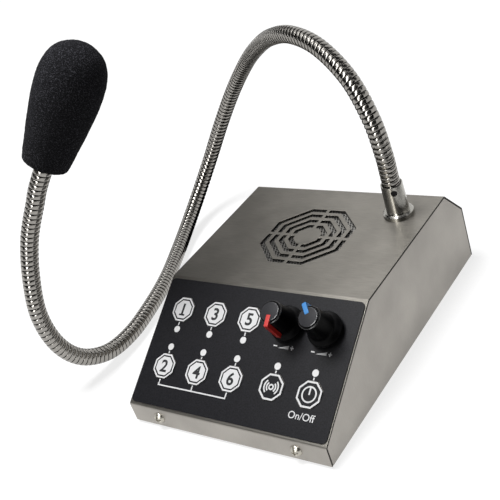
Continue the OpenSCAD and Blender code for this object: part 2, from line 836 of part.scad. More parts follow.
module line_socket() {
  color("#1b1b1d") on_rear(socket_right) difference() {
    union() {
      translate([-socket_w / 2, -socket_h / 2, -mouth_d]) cube([socket_w, socket_h, mouth_d + eps]);
      translate([-socket_w / 2 - socket_wall, -socket_h / 2 - socket_wall, 0])
        cube([socket_w + 2 * socket_wall, socket_h + 2 * socket_wall, socket_lip]);
    }
    translate([-mouth_w / 2, -mouth_h / 2, -mouth_d + socket_wall])
      cube([mouth_w, mouth_h, mouth_d + socket_lip]);
  }
}

module gooseneck_collar() {
  color("#d6d6d4") translate(collar_foot) difference() {
    union() {
      cylinder(d = collar_flange_d, h = collar_flange_h - collar_edge);
      translate([0, 0, collar_flange_h - collar_edge])
        cylinder(d1 = collar_flange_d, d2 = collar_flange_d - 2 * collar_edge, h = collar_edge);
      cylinder(d1 = collar_d, d2 = collar_top_d, h = collar_h);
      translate([0, 0, -collar_thread_l]) cylinder(d = collar_thread_d, h = collar_thread_l + eps);
    }
    translate([0, 0, collar_h - hose_seat - hose_gap])
      cylinder(d = collar_bore_d, h = hose_seat + hose_gap + eps);
    translate([0, 0, -collar_thread_l - eps]) cylinder(d = hose_bore_d, h = collar_h + collar_thread_l);
    rotate(set_screw_turn) translate([0, 0, set_screw_z])
      rotate([0, 90, 0]) cylinder(d = set_screw_d, h = collar_d);
  }
}

module collar_nut() {
  color("silver") translate([collar_x, collar_y, ceiling_z - collar_nut_h]) difference() {
    linear_extrude(collar_nut_h) hexagon(collar_nut_af);
    translate([0, 0, -eps])
      cylinder(d = collar_thread_d + 2 * collar_thread_fit, h = collar_nut_h + 2 * eps);
  }
}

module collar_set_screw() {
  screw_l = (collar_top_d - hose_d) / 2 - hose_gap;
  color("#2a2a2c") translate(collar_foot) rotate(set_screw_turn)
    translate([hose_d / 2 + thread_fit, 0, set_screw_z])
      rotate([0, 90, 0]) cylinder(d = set_screw_d - 2 * thread_fit, h = screw_l);
}

// One ring of points square to the hose
function hose_ring(s, r) =
  let (middle = path_point(s), way = path_way(s), side = unit(cross(way, side_hint)), up = cross(way, side))
  [for (i = [0:hose_sides - 1]) let (a = i * 360 / hose_sides) middle + r * (cos(a) * side + sin(a) * up)];

function ring_skin(first, count, flip) = [
  for (k = [0:count - 2], i = [0:hose_sides - 1])
    let (
      a = first + k * hose_sides + i,
      b = first + k * hose_sides + (i + 1) % hose_sides,
      c = b + hose_sides,
      d = a + hose_sides
    )
    each flip ? [[a, b, c], [a, c, d]] : [[a, c, b], [a, d, c]]
];

function ring_join(outer, inner, flip) = [
  for (i = [0:hose_sides - 1])
    let (a = outer + i, b = outer + (i + 1) % hose_sides, c = inner + (i + 1) % hose_sides, d = inner + i)
    each flip ? [[a, b, c], [a, c, d]] : [[a, c, b], [a, d, c]]
];

// A stretch of ribbed hose with its bore, between two shares of the hose's length
module hose(from, to, tint = "#c9c9c6") {
  s0 = from * hose_l + (from > 0 ? joint_gap / 2 : 0);
  s1 = to * hose_l - (to < 1 ? joint_gap / 2 : 0);
  ribs = max(2, round((s1 - s0) / rib_pitch));
  bores = max(1, ceil(ribs / bore_stride));
  outer_count = 2 * ribs + 1;
  outer = [
    for (k = [0:2 * ribs])
      each hose_ring(s0 + (s1 - s0) * k / (2 * ribs), hose_d / 2 - (k % 2 == 0 ? groove_depth : 0))
  ];
  inner = [for (k = [0:bores]) each hose_ring(s0 + (s1 - s0) * k / bores, hose_bore_d / 2)];
  inner_first = outer_count * hose_sides;
  color(tint) polyhedron(
    points = concat(outer, inner),
    faces = concat(
      ring_skin(0, outer_count, false),
      ring_skin(inner_first, bores + 1, true),
      ring_join(0, inner_first, true),
      ring_join((outer_count - 1) * hose_sides, inner_first + bores * hose_sides, false)
    )
  );
}

module microphone_ferrule() {
  color("#39393c") at_microphone() difference() {
    translate([0, 0, ferrule_start]) cylinder(d = ferrule_d, h = ferrule_l);
    translate([0, 0, ferrule_start - eps])
      cylinder(d = ferrule_bore_d, h = foam_lap + hose_gap - ferrule_start + eps);
    cylinder(d = hose_bore_d, h = ferrule_start + ferrule_l - ferrule_floor);
  }
}

module microphone_capsule() {
  color("#505054") at_microphone() translate([0, 0, ferrule_start + ferrule_l]) difference() {
    cylinder(d = capsule_d, h = capsule_l);
    for (slot = [1:capsule_slots])
      rotate(slot * 180 / capsule_slots) translate([0, 0, capsule_l])
        cube([capsule_d + eps, capsule_slot_w, capsule_l / 2], center = true);
  }
}

module windscreen() {
  dome_h = foam_l - foam_waist;
  swell = (foam_d - foam_mouth_d) / 2;
  pocket_d = ferrule_d + 2 * foam_gap;
  pocket_l = ferrule_start + ferrule_l + capsule_l + foam_gap;
  color("#141416") at_microphone() difference() {
    rotate_extrude() {
      polygon([
        [0, 0],
        [foam_mouth_d / 2 - foam_edge_r, 0],
        [foam_mouth_d / 2, foam_edge_r],
        for (u = [0.15:0.15:0.9])
          [foam_mouth_d / 2 + swell * (u + sin(90 * u)) / 2, foam_edge_r + (foam_waist - foam_edge_r) * u],
        for (a = [0:10:80])
          [foam_d / 2 * pow(cos(a), foam_round), foam_waist + dome_h * sin(a)],
        [0, foam_l]
      ]);
    }
    translate([0, 0, -eps]) cylinder(d = pocket_d, h = pocket_l);
  }
}

base_pad();
base_tray();
clinch_nuts();
top_cover();
front_screws();
rear_screws();
front_overlay();
indicator_windows();
key(key_places[0]);  // key_1
key(key_places[1]);  // key_2
key(key_places[2]);  // key_3
key(key_places[3]);  // key_4
key(key_places[4]);  // key_5
key(key_places[5]);  // key_6
key(key_places[6]);  // key_call
key(key_places[7]);  // key_power
keypad_board();
key_switches();
indicator_lamps();
board_standoffs();
board_screws();
volume_controls();
volume_nuts();
volume_shaft(knob_places[0]);  // outside_shaft
volume_knob(knob_places[0], outside_turn);  // outside_knob
knob_cap(knob_places[0], outside_turn);  // outside_cap
knob_pointer(knob_places[0], outside_turn, "#c8382e");  // outside_pointer
volume_shaft(knob_places[1]);  // inside_shaft
volume_knob(knob_places[1], inside_turn);  // inside_knob
knob_cap(knob_places[1], inside_turn);  // inside_cap
knob_pointer(knob_places[1], inside_turn, "#2d8cd6");  // inside_pointer
grille_mesh();
speaker_frame();
speaker_cone();
speaker_magnet();
speaker_studs();
speaker_nuts();
amplifier_board();
amplifier_standoffs();
amplifier_screws();
capacitors();
power_inlet();
line_socket();
gooseneck_collar();
collar_nut();
collar_set_screw();
hose(0, foot_end);  // neck_foot
hose(foot_end, rise_start);  // neck_flex_foot
hose(rise_start, rise_end);  // neck_rise
hose(rise_end, fall_start);  // neck_flex_crown
hose(fall_start, run_start);  // neck_fall
hose(run_start, run_end);  // neck_run
hose(run_end, front_start);  // neck_flex_loop
hose(front_start, front_end);  // neck_front
hose(front_end, tip_start);  // neck_flex_tip
hose(tip_start, 1);  // neck_tip
microphone_ferrule();
microphone_capsule();
windscreen();
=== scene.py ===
"""Looks of the intercom station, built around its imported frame.

Fields hold sizes in mm and angles in degrees. Meshes and the studio are in metres.
"""

import logging
import math
from dataclasses import dataclass, field
from enum import Enum
from typing import Any, Iterable, Mapping, Sequence

import bmesh
import bpy
from mathutils import Matrix, Vector, noise


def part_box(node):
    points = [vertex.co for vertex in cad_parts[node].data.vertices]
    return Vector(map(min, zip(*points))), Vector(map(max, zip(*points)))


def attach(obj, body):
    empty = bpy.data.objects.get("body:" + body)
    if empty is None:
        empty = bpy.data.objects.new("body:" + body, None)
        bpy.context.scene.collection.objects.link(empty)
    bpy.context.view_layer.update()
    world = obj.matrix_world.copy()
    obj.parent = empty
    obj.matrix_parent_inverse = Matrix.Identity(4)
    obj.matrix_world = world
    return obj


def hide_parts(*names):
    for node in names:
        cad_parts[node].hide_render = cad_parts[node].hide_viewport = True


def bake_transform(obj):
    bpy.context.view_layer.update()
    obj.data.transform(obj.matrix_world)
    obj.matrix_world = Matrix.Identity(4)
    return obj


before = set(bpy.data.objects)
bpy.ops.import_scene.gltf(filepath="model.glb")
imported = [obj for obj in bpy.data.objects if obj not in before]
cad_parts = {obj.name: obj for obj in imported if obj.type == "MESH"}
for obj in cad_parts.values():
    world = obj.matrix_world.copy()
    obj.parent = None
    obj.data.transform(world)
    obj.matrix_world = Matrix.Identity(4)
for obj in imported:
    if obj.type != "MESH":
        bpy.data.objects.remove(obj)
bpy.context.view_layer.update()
LOG = logging.getLogger("station")

# A millimetre and the distance at which points are one, in metres.
MM = 0.001
WELD = 1e-6
# Edges sharper than the first angle are rounded, and faces within the second are joined, in degrees.
ROUND_FROM = 35.0
FLAT_TO = 0.5
# The thickness of all print, in mm, and the steps of a letter's curves.
PRINT_T = 0.04
LETTER_STEPS = 4
# The part of a noise's values that a finish uses.
NOISE_SPAN = (0.25, 0.75)
WHITE = (1.0, 1.0, 1.0, 1.0)

Pair = tuple[float, float]
Triple = tuple[float, float, float]
Face = bmesh.types.BMFace
Point = bmesh.types.BMVert
Mesh = bmesh.types.BMesh
Socket = bpy.types.NodeSocket
Thing = bpy.types.Object


def linear(colour: Triple, level: float = 1.0) -> tuple[float, float, float, float]:
    """A colour in linear light, by the usual curve of screens.

    Args:
        colour: Red, green and blue as a screen shows them, from 0 to 255.
        level: What the linear colour is multiplied by.

    Returns:
        Red, green, blue and an alpha of 1.
    """
    parts = [c / 255 for c in colour]
    flat = [c / 12.92 if c <= 0.04045 else ((c + 0.055) / 1.055) ** 2.4 for c in parts]
    return (*(min(1.0, c * level) for c in flat), 1.0)


def link(name: str, data: bpy.types.ID) -> Thing:
    """Puts a mesh, curve, lamp or camera in the scene.

    Args:
        name: The object's name.
        data: What it shows.

    Returns:
        The object, at the origin.
    """
    thing = bpy.data.objects.new(name, data)
    bpy.context.scene.collection.objects.link(thing)
    return thing


class Grain(Enum):
    """Which way a finish's fine pattern runs, as its scale along x, y and z."""

    EVEN = (1.0, 1.0, 1.0)
    ALONG_X = (0.03, 1.0, 1.0)
    ALONG_Z = (1.0, 1.0, 0.05)


class Crease(Enum):
    """The angle past which a piece's edges look sharp, in degrees."""

    SHEET = 30.0
    PLAIN = 40.0
    TURNED = 50.0
    WOUND = 60.0
    SOFT = 80.0


@dataclass(frozen=True)
class Edge:
    """How a piece's edges are rounded: the width, the steps and which edges still look sharp."""

    width: float
    steps: int = 2
    crease: Crease = Crease.PLAIN


class NodeSheet:
    """The nodes of a new material or world, with short ways to add and join them."""

    def __init__(self, owner: bpy.types.Material | bpy.types.World, shader: str) -> None:
        """Opens the nodes.

        Args:
            owner: The material or world.
            shader: The name of its shader node.
        """
        owner.use_nodes = True
        self.owner = owner
        self.tree = owner.node_tree
        self.shader = self.tree.nodes[shader]

    def fill(self, node: bpy.types.Node, inputs: Mapping[Any, Any]) -> bpy.types.Node:
        """Sets a node's inputs.

        Args:
            node: The node.
            inputs: A plain value, or a socket to link, for each input by its name or number.

        Returns:
            The node.
        """
        for key, value in inputs.items():
            if isinstance(value, Socket):
                self.tree.links.new(value, node.inputs[key])
            else:
                node.inputs[key].default_value = value
        return node

    def add(self, kind: str, output: str | int, inputs: Mapping[Any, Any], **settings: Any) -> Socket:
        """Adds a node.

        Args:
            kind: The node's type.
            output: The wanted output's name or number.
            inputs: A plain value or a socket for each input.
            settings: The node's own options.

        Returns:
            The wanted output.
        """
        node = self.tree.nodes.new(kind)
        for key, value in settings.items():
            setattr(node, key, value)
        return self.fill(node, inputs).outputs[output]

    def shade(self, inputs: Mapping[str, Any]) -> None:
        """Sets inputs of the shader."""
        self.fill(self.shader, inputs)

    def coordinates(self, pitch: float, grain: Grain = Grain.EVEN) -> Socket:
        """Object coordinates, counted in steps.

        Args:
            pitch: The step, in mm.
            grain: Which way the steps are stretched.

        Returns:
            The coordinates.
        """
        place = self.add("ShaderNodeTexCoord", "Object", {})
        scale = tuple(axis / (pitch * MM) for axis in grain.value)
        return self.add("ShaderNodeMapping", "Vector", {"Vector": place, "Scale": scale})

    def clouds(self, place: Socket, detail: float, ragged: float = 0.5, scale: float = 1.0) -> Socket:
        """Cloudy noise from 0 to 1."""
        wanted = {"Vector": place, "Scale": scale, "Detail": detail, "Roughness": ragged}
        return self.add("ShaderNodeTexNoise", "Fac", wanted)

    def mix(self, share: Any, first: Any, second: Any, way: str = "MIX") -> Socket:
        """Two colours, mixed."""
        wanted = {"Fac": share, "Color1": first, "Color2": second}
        return self.add("ShaderNodeMixRGB", "Color", wanted, blend_type=way)

    def span(self, value: Any, low: float, high: float, reach: Pair = (0.0, 1.0)) -> Socket:
        """A value whose reach is spread over low to high."""
        wanted = {"Value": value, "From Min": reach[0], "From Max": reach[1], "To Min": low, "To Max": high}
        return self.add("ShaderNodeMapRange", "Result", wanted)

    def reckon(self, operation: str, first: Any, second: Any) -> Socket:
        """What an operation makes of two values."""
        return self.add("ShaderNodeMath", 0, {0: first, 1: second}, operation=operation)

    def seen(self) -> Socket:
        """Finds which rays show the surround itself.

        Returns:
            1 where the camera, a gloss or a clear piece looks, and 0 for other rays.
        """
        rays = self.tree.nodes.new("ShaderNodeLightPath").outputs
        found = rays["Is Camera Ray"]
        for other in ("Is Glossy Ray", "Is Transmission Ray"):
            found = self.reckon("MAXIMUM", found, rays[other])
        return found


@dataclass(frozen=True)
class Finish:
    """A surface whose colour, roughness and relief vary with one fine pattern."""

    name: str
    colour: Triple
    roughness: float
    metallic: float = 0.0
    specular: float = 0.5
    grain: Grain = Grain.EVEN
    pitch: float = 0.6
    tone: float = 0.1
    relief: float = 0.02
    spread: float = 0.05
    detail: float = 4.0
    ragged: float = 0.6

    def pattern(self, sheet: NodeSheet) -> Socket:
        """The pattern that varies the surface, from 0 to 1."""
        return sheet.clouds(sheet.coordinates(self.pitch, self.grain), self.detail, self.ragged)

    def tint(self, sheet: NodeSheet, factor: Socket) -> Socket:
        """The surface's colour over the pattern."""
        dark, pale = (linear(self.colour, 1 + side * self.tone) for side in (-1, 1))
        return sheet.mix(sheet.span(factor, 0.0, 1.0, NOISE_SPAN), dark, pale)

    def extras(self, sheet: NodeSheet) -> None:
        """What a special finish adds to the plain one."""

    def material(self) -> bpy.types.Material:
        """Makes the finish's material, once.

        Returns:
            The material.
        """
        name = self.name + "_finish"
        found = bpy.data.materials.get(name)
        if found:
            return found
        sheet = NodeSheet(bpy.data.materials.new(name), "Principled BSDF")
        factor = self.pattern(sheet)
        low, high = max(0.0, self.roughness - self.spread), self.roughness + self.spread
        sheet.shade({
            "Base Color": self.tint(sheet, factor),
            "Metallic": self.metallic,
            "Roughness": sheet.span(factor, low, high, NOISE_SPAN),
            "Specular IOR Level": self.specular,
        })
        if self.relief:
            wanted = {"Height": factor, "Distance": self.relief * MM, "Strength": 1.0}
            sheet.shade({"Normal": sheet.add("ShaderNodeBump", "Normal", wanted)})
        self.extras(sheet)
        return sheet.owner


@dataclass(frozen=True)
class SmearedFinish(Finish):
    """Metal whose fine lines smear its reflection one way."""

    smear: float = 0.7
    way: Triple = (0.0, 1.0, 0.0)

    def direction(self, sheet: NodeSheet) -> Socket:
        """The way of the smear."""
        return sheet.add("ShaderNodeCombineXYZ", "Vector", dict(zip("XYZ", self.way)))

    def extras(self, sheet: NodeSheet) -> None:
        """Smears the reflection."""
        sheet.shade({"Anisotropic": self.smear, "Tangent": self.direction(sheet)})


@dataclass(frozen=True)
class BrushedFinish(SmearedFinish):
    """Brushed steel: long scratches and soft clouds of tone."""

    cloud: float = 28.0
    cloud_tone: float = 0.1
    cloud_detail: float = 2.0
    cloud_span: Pair = (0.3, 0.7)

    def tint(self, sheet: NodeSheet, factor: Socket) -> Socket:
        """Lays scratches over broad clouds of lighter and darker steel.

        Args:
            sheet: The material's nodes.
            factor: The scratches.

        Returns:
            The colour.
        """
        cloud = sheet.clouds(sheet.coordinates(self.cloud), self.cloud_detail)
        level = sheet.span(cloud, 1 - self.cloud_tone, 1 + self.cloud_tone, self.cloud_span)
        return sheet.mix(1.0, super().tint(sheet, factor), level, "MULTIPLY")


@dataclass(frozen=True)
class GroovedFinish(SmearedFinish):
    """Bright wound steel with painted shade in its grooves. Attributes say where they are and which way it
    runs.
    """

    smear: float = 0.8
    # The groove colour is painted shade, laid on more where the groove is deeper.
    groove_colour: Triple = (18, 17, 16)
    groove_span: Pair = (0.25, 0.6)

    def tint(self, sheet: NodeSheet, factor: Socket) -> Socket:
        """The steel's colour, with painted shade darkening the grooves."""
        depth = sheet.add("ShaderNodeAttribute", "Fac", {}, attribute_name="groove")
        share = sheet.span(depth, 0.0, 1.0, self.groove_span)
        return sheet.mix(share, super().tint(sheet, factor), linear(self.groove_colour))

    def direction(self, sheet: NodeSheet) -> Socket:
        """Along the hose."""
        return sheet.add("ShaderNodeAttribute", "Vector", {}, attribute_name="along")


@dataclass(frozen=True)
class FoamFinish(Finish):
    """Open-cell foam: dark cells with paler walls between them."""

    detail: float = 3.0
    ragged: float = 0.7
    finer: float = 1.7
    wall_colour: Triple = (86, 86, 92)
    wall_span: Pair = (0.1, 0.55)
    pale_span: Pair = (0.35, 1.0)

    def pattern(self, sheet: NodeSheet) -> Socket:
        """Makes ragged cells.

        Args:
            sheet: The material's nodes.

        Returns:
            0 in a cell's middle, up to 1 on its wall.
        """
        place = sheet.coordinates(self.pitch)
        cells = sheet.add("ShaderNodeTexVoronoi", "Distance", {"Vector": place, "Scale": 1.0})
        noisy = sheet.clouds(place, self.detail, self.ragged, self.finer)
        return sheet.span(sheet.reckon("MULTIPLY", cells, noisy), 0.0, 1.0, self.wall_span)

    def tint(self, sheet: NodeSheet, factor: Socket) -> Socket:
        """Dark cells and paler walls."""
        share = sheet.span(factor, 0.0, 1.0, self.pale_span)
        return sheet.mix(share, linear(self.colour), linear(self.wall_colour))


@dataclass(frozen=True)
class FloorFinish:
    """A pale floor that keeps the part's shadow and goes white far out. The fade is in metres."""

    colour: float = 0.3
    glow: float = 0.78
    fade: Pair = (0.45, 1.6)

    def material(self) -> bpy.types.Material:
        """Makes the floor's material.

        Returns:
            The material.
        """
        sheet = NodeSheet(bpy.data.materials.new("floor"), "Principled BSDF")
        place = sheet.add("ShaderNodeTexCoord", "Object", {})
        away = sheet.add("ShaderNodeVectorMath", "Value", {0: place}, operation="LENGTH")
        level = sheet.span(away, self.glow, 1.0, self.fade)
        sheet.shade({
            "Base Color": (self.colour, self.colour, self.colour, 1.0),
            "Roughness": 1.0,
            "Specular IOR Level": 0.0,
            "Emission Color": WHITE,
            "Emission Strength": sheet.reckon("MULTIPLY", sheet.seen(), level),
        })
        return sheet.owner


# The top, the sides and the front lip are one brushed steel; the paler colour of the sides and lip is
# painted light.
STEEL_TOP = BrushedFinish("brushed_steel", (126, 123, 117), 0.42, 1.0, grain=Grain.ALONG_X, pitch=0.22,
                          tone=0.2, relief=0.004, spread=0.06)
LIT_SIDE_STEEL = BrushedFinish("brushed_steel_painted_lit_side", (160, 156, 150), 0.42, 1.0, grain=Grain.ALONG_Z,
                           pitch=0.25, tone=0.1, relief=0.004, spread=0.06)
# The cut edges are dull cut steel, darkened further as painted shade of the seam beside them.
CUT_STEEL = Finish("cut_edge_steel", (52, 50, 47), 0.6, 1.0, pitch=0.3, tone=0.2)
# The slot walls are painted near black: painted shade inside the speaker slots.
SLOT_SHADE = Finish("slot_wall_painted_shade", (16, 15, 14), 0.7, 0.5, specular=0.1, pitch=0.3, tone=0.2)
RUBBER = Finish("pad_rubber", (30, 30, 31), 0.8, specular=0.25, pitch=0.5, relief=0.03)
ZINC = Finish("zinc_plated", (176, 172, 162), 0.32, 1.0, pitch=0.4, tone=0.12, relief=0.006)
FILM = Finish("overlay_film", (23, 23, 27), 0.4, specular=0.15, pitch=0.7, tone=0.7, relief=0.012,
              spread=0.06)
KEY_FILM = Finish("key_film", (23, 23, 27), 0.4, specular=0.15, pitch=0.7, tone=0.5, relief=0.01,
                  spread=0.06)
PRINT = Finish("white_print", (218, 218, 219), 0.55, specular=0.3, pitch=0.3, tone=0.03, relief=0.004)
DARK_PRINT = Finish("dark_print", (30, 30, 33), 0.5, specular=0.3, pitch=0.3, relief=0.004)
WINDOW = Finish("window_plastic", (224, 224, 224), 0.35, pitch=0.8, tone=0.03, relief=0.0)
LAMINATE = Finish("board_laminate", (28, 84, 52), 0.45, pitch=0.8, tone=0.2)
BLACK_PLASTIC = Finish("black_plastic", (24, 24, 25), 0.5, pitch=0.4, tone=0.2)
CONTROL_METAL = Finish("control_metal", (150, 148, 143), 0.4, 1.0, pitch=0.4)
KNOB_PLASTIC = Finish("knob_plastic", (5, 5, 6), 0.35, specular=0.05, pitch=0.5, tone=0.25, relief=0.006)
KNOB_EDGE = Finish("knob_edge", (6, 6, 7), 0.2, specular=0.6, pitch=0.5, tone=0.25, relief=0.002)
CAP_PLASTIC = Finish("cap_plastic", (48, 48, 51), 0.5, specular=0.12, pitch=0.25, tone=0.25, relief=0.012)
# The cap's edge is painted paler than the cap as a painted highlight; its higher specular is real gloss.
CAP_HIGHLIGHT_EDGE = Finish("cap_edge_painted_highlight", (66, 66, 69), 0.2, specular=1.0, pitch=0.3, relief=0.002)
MESH_STEEL = Finish("mesh_steel", (178, 176, 171), 0.3, 1.0, pitch=0.3)
# The speaker frame's near black is partly its black paint and partly painted shade seen through the slots.
SPEAKER_PAINT_AND_SHADE = Finish("speaker_steel", (12, 12, 13), 0.6, specular=0.15, pitch=0.5)
CONE_PAPER = Finish("cone_paper", (20, 20, 20), 0.9, specular=0.2, pitch=0.5, relief=0.05)
MAGNET_IRON = Finish("magnet_iron", (56, 55, 54), 0.6, 0.6, pitch=0.5)
SLEEVE = Finish("capacitor_sleeve", (30, 34, 60), 0.4)
# The chrome's smear leans a little, so that no face looks straight along it.
CHROME = SmearedFinish("collar_chrome", (170, 168, 162), 0.2, 1.0, pitch=2.5, tone=0.04, relief=0.0,
                       spread=0.03, smear=0.9, way=(0.1, 0.07, 1.0))
BLACK_STEEL = Finish("set_screw_steel", (26, 26, 27), 0.4, 0.7, pitch=0.3)
# The hose's finish paints shade into the grooves of its winding.
HOSE_STEEL = GroovedFinish("hose_steel", (150, 147, 142), 0.19, 1.0, pitch=0.5, relief=0.004, spread=0.06)
FERRULE = Finish("ferrule_metal", (30, 30, 31), 0.4, 0.8, pitch=0.4)
FOAM = FoamFinish("foam", (18, 18, 21), 0.95, specular=0.1, relief=0.25, spread=0.02)
RED = Finish("pointer_red", (200, 44, 38), 0.4, specular=0.4, pitch=0.4, tone=0.12)
BLUE = Finish("pointer_blue", (32, 124, 194), 0.4, specular=0.4, pitch=0.4, tone=0.12)
CARD_BLACK = Finish("card_black", (20, 20, 20), 0.9, specular=0.0, relief=0.0)


class Piece:
    """A mesh under construction, in metres, that becomes one object."""

    def __init__(self, name: str, finish: Finish | FloorFinish, mesh: Mesh | None = None) -> None:
        """Starts a piece.

        Args:
            name: Its name.
            finish: Its first finish.
            mesh: A mesh to take over, or none for an empty one.
        """
        self.name = name
        self.mesh = bmesh.new() if mesh is None else mesh
        self.finishes = [finish]
        self.rounded = False

    def paint(self, faces: Iterable[Face], finish: Finish) -> None:
        """Gives some faces another finish.

        Args:
            faces: The faces.
            finish: Their finish.
        """
        if finish not in self.finishes:
            self.finishes.append(finish)
        for face in faces:
            face.material_index = self.finishes.index(finish)

    def since(self, before: set[Face]) -> list[Face]:
        """The faces that an earlier set of them doesn't have."""
        return [f for f in self.mesh.faces if f not in before]

    def place(self, verts: Iterable[Point], matrix: Matrix) -> None:
        """Moves points by a matrix."""
        bmesh.ops.transform(self.mesh, matrix=matrix, verts=list(verts))

    def outline(self, points: Sequence[Pair]) -> Face:
        """A flat face through points of the xy plane, in metres."""
        return self.mesh.faces.new([self.mesh.verts.new((x, y, 0)) for x, y in points])

    def rectangle(self, half: float, low: float, high: float) -> Face:
        """A flat face from -half to half across and from low to high, in metres."""
        return self.outline([(-half, low), (half, low), (half, high), (-half, high)])

    def regular(self, sides: int, across: float) -> Face:
        """A flat regular polygon at the origin, with a flat towards x.

        Args:
            sides: How many sides it has.
            across: Its size across the flats, in metres.

        Returns:
            The face.
        """
        radius = across / 2 / math.cos(math.pi / sides)
        made = bmesh.ops.create_circle(self.mesh, cap_ends=True, segments=sides, radius=radius)
        self.place(made["verts"], Matrix.Rotation(math.pi / sides, 4, "Z"))
        return made["verts"][0].link_faces[0]

    def frame_of(self, face: Face, width: float) -> list[Face]:
        """Cuts out a face's middle.

        Args:
            face: The face.
            width: Width of the band that is left, in metres.

        Returns:
            The band's faces.
        """
        band = bmesh.ops.inset_region(self.mesh, faces=[face], thickness=width, use_boundary=True,
                                      use_even_offset=True)["faces"]
        bmesh.ops.delete(self.mesh, geom=[face], context="FACES")
        return band

    def stamp(self, faces: Sequence[Face], place: Matrix, height: float = PRINT_T) -> None:
        """Raises flat faces along z into a closed solid and puts it in place.

        Args:
            faces: The faces, at the origin.
            place: Where the solid goes.
            height: How far the faces are raised, in mm.
        """
        foot = {v for f in faces for v in f.verts}
        made = bmesh.ops.extrude_face_region(self.mesh, geom=list(faces), use_keep_orig=True)["geom"]
        top = [g for g in made if isinstance(g, Point)]
        bmesh.ops.translate(self.mesh, vec=(0, 0, height * MM), verts=top)
        self.place([*foot, *top], place)

    def spin(self, chain: Iterable[Sequence[float]], angle: float, steps: int, closed: bool,
             rise: float = 0.0) -> None:
        """Turns a chain of points round z.

        Args:
            chain: The points, in metres.
            angle: The whole turn, in radians.
            steps: How many steps it has.
            closed: Whether its end meets its start.
            rise: How far each step climbs, in metres.
        """
        verts = [self.mesh.verts.new(place) for place in chain]
        edges = [self.mesh.edges.new(pair) for pair in zip(verts, verts[1:])]
        bmesh.ops.spin(self.mesh, geom=[*verts, *edges], cent=(0, 0, 0), axis=(0, 0, 1), angle=angle,
                       dvec=(0, 0, rise), steps=steps, use_merge=closed)

    def lathe(self, profile: Sequence[Pair], steps: int) -> None:
        """Makes the whole piece by turning a profile of radii and heights, in mm, round z."""
        self.spin([(r * MM, 0, z * MM) for r, z in profile], math.tau, steps, True)
        bmesh.ops.remove_doubles(self.mesh, verts=self.mesh.verts, dist=WELD)

    def bevel(self, edge: Edge) -> None:
        """Rounds every sharp edge.

        Args:
            edge: The rounding.
        """
        least = math.radians(ROUND_FROM)
        sharp = [e for e in self.mesh.edges if e.is_manifold and e.calc_face_angle(0.0) > least]
        bmesh.ops.bevel(self.mesh, geom=sharp, offset=edge.width * MM, offset_type="OFFSET",
                        segments=edge.steps, profile=0.5, affect="EDGES", material=-1, clamp_overlap=True)
        self.rounded = True

    def build(self, crease: Crease = Crease.PLAIN) -> Thing:
        """Closes the mesh and makes its object.

        Args:
            crease: Which edges look sharp.

        Returns:
            The object, at the origin.
        """
        bmesh.ops.remove_doubles(self.mesh, verts=self.mesh.verts, dist=WELD)
        bmesh.ops.recalc_face_normals(self.mesh, faces=self.mesh.faces)
        return self.keep(crease)

    def keep(self, crease: Crease = Crease.PLAIN) -> Thing:
        """Makes the object of a mesh whose faces already point outwards.

        Args:
            crease: Which edges look sharp.

        Returns:
            The object, at the origin.
        """
        data = bpy.data.meshes.new(self.name)
        self.mesh.to_mesh(data)
        self.mesh.free()
        data.shade_smooth()
        data.set_sharp_from_angle(angle=math.radians(crease.value))
        for finish in self.finishes:
            data.materials.append(finish.material())
        thing = link(self.name, data)
        if self.rounded:
            thing.modifiers.new("even_shading", "WEIGHTED_NORMAL").keep_sharp = True
        return thing


def label(thing: Thing, slot: str, *nodes: str) -> Thing:
    """Hides the CAD nodes that a piece replaces, and logs the piece.

    Args:
        thing: The piece.
        slot: A material slot; not used.
        nodes: The CAD nodes that it replaces.

    Returns:
        The piece.
    """
    if nodes:
        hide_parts(*nodes)
    LOG.info("%s: %d faces", thing.name, len(thing.data.polygons))
    return thing


def settle(thing: Thing, body: str, slot: str, *nodes: str) -> Thing:
    """Rides a finished piece on its body, and labels it."""
    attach(thing, body)
    return label(thing, slot, *nodes)


def dress(node: str, finish: Finish) -> None:
    """Gives a CAD node that stays on show its finish.

    Args:
        node: The CAD node.
        finish: Its finish.
    """
    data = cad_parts[node].data
    data.materials.clear()
    data.materials.append(finish.material())
    LOG.info("%s: dressed as %s", node, finish.name)


def rounded_copy(node: str, finish: Finish, edge: Edge) -> Piece:
    """Copies a CAD node and rounds its edges.

    Args:
        node: The CAD node.
        finish: The copy's finish.
        edge: The rounding.

    Returns:
        The copy, still under construction.
    """
    piece = Piece(node + "_rounded", finish)
    piece.mesh.from_mesh(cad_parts[node].data)
    for face in piece.mesh.faces:
        face.material_index = 0
    bmesh.ops.remove_doubles(piece.mesh, verts=piece.mesh.verts, dist=WELD)
    bmesh.ops.dissolve_limit(piece.mesh, angle_limit=math.radians(FLAT_TO), use_dissolve_boundaries=False,
                             verts=piece.mesh.verts, edges=piece.mesh.edges)
    piece.bevel(edge)
    return piece


def round_off(node: str, finish: Finish, slot: str, edge: Edge, body: str = "housing") -> None:
    """Puts a rounded copy in a CAD node's place."""
    settle(rounded_copy(node, finish, edge).keep(edge.crease), body, slot, node)


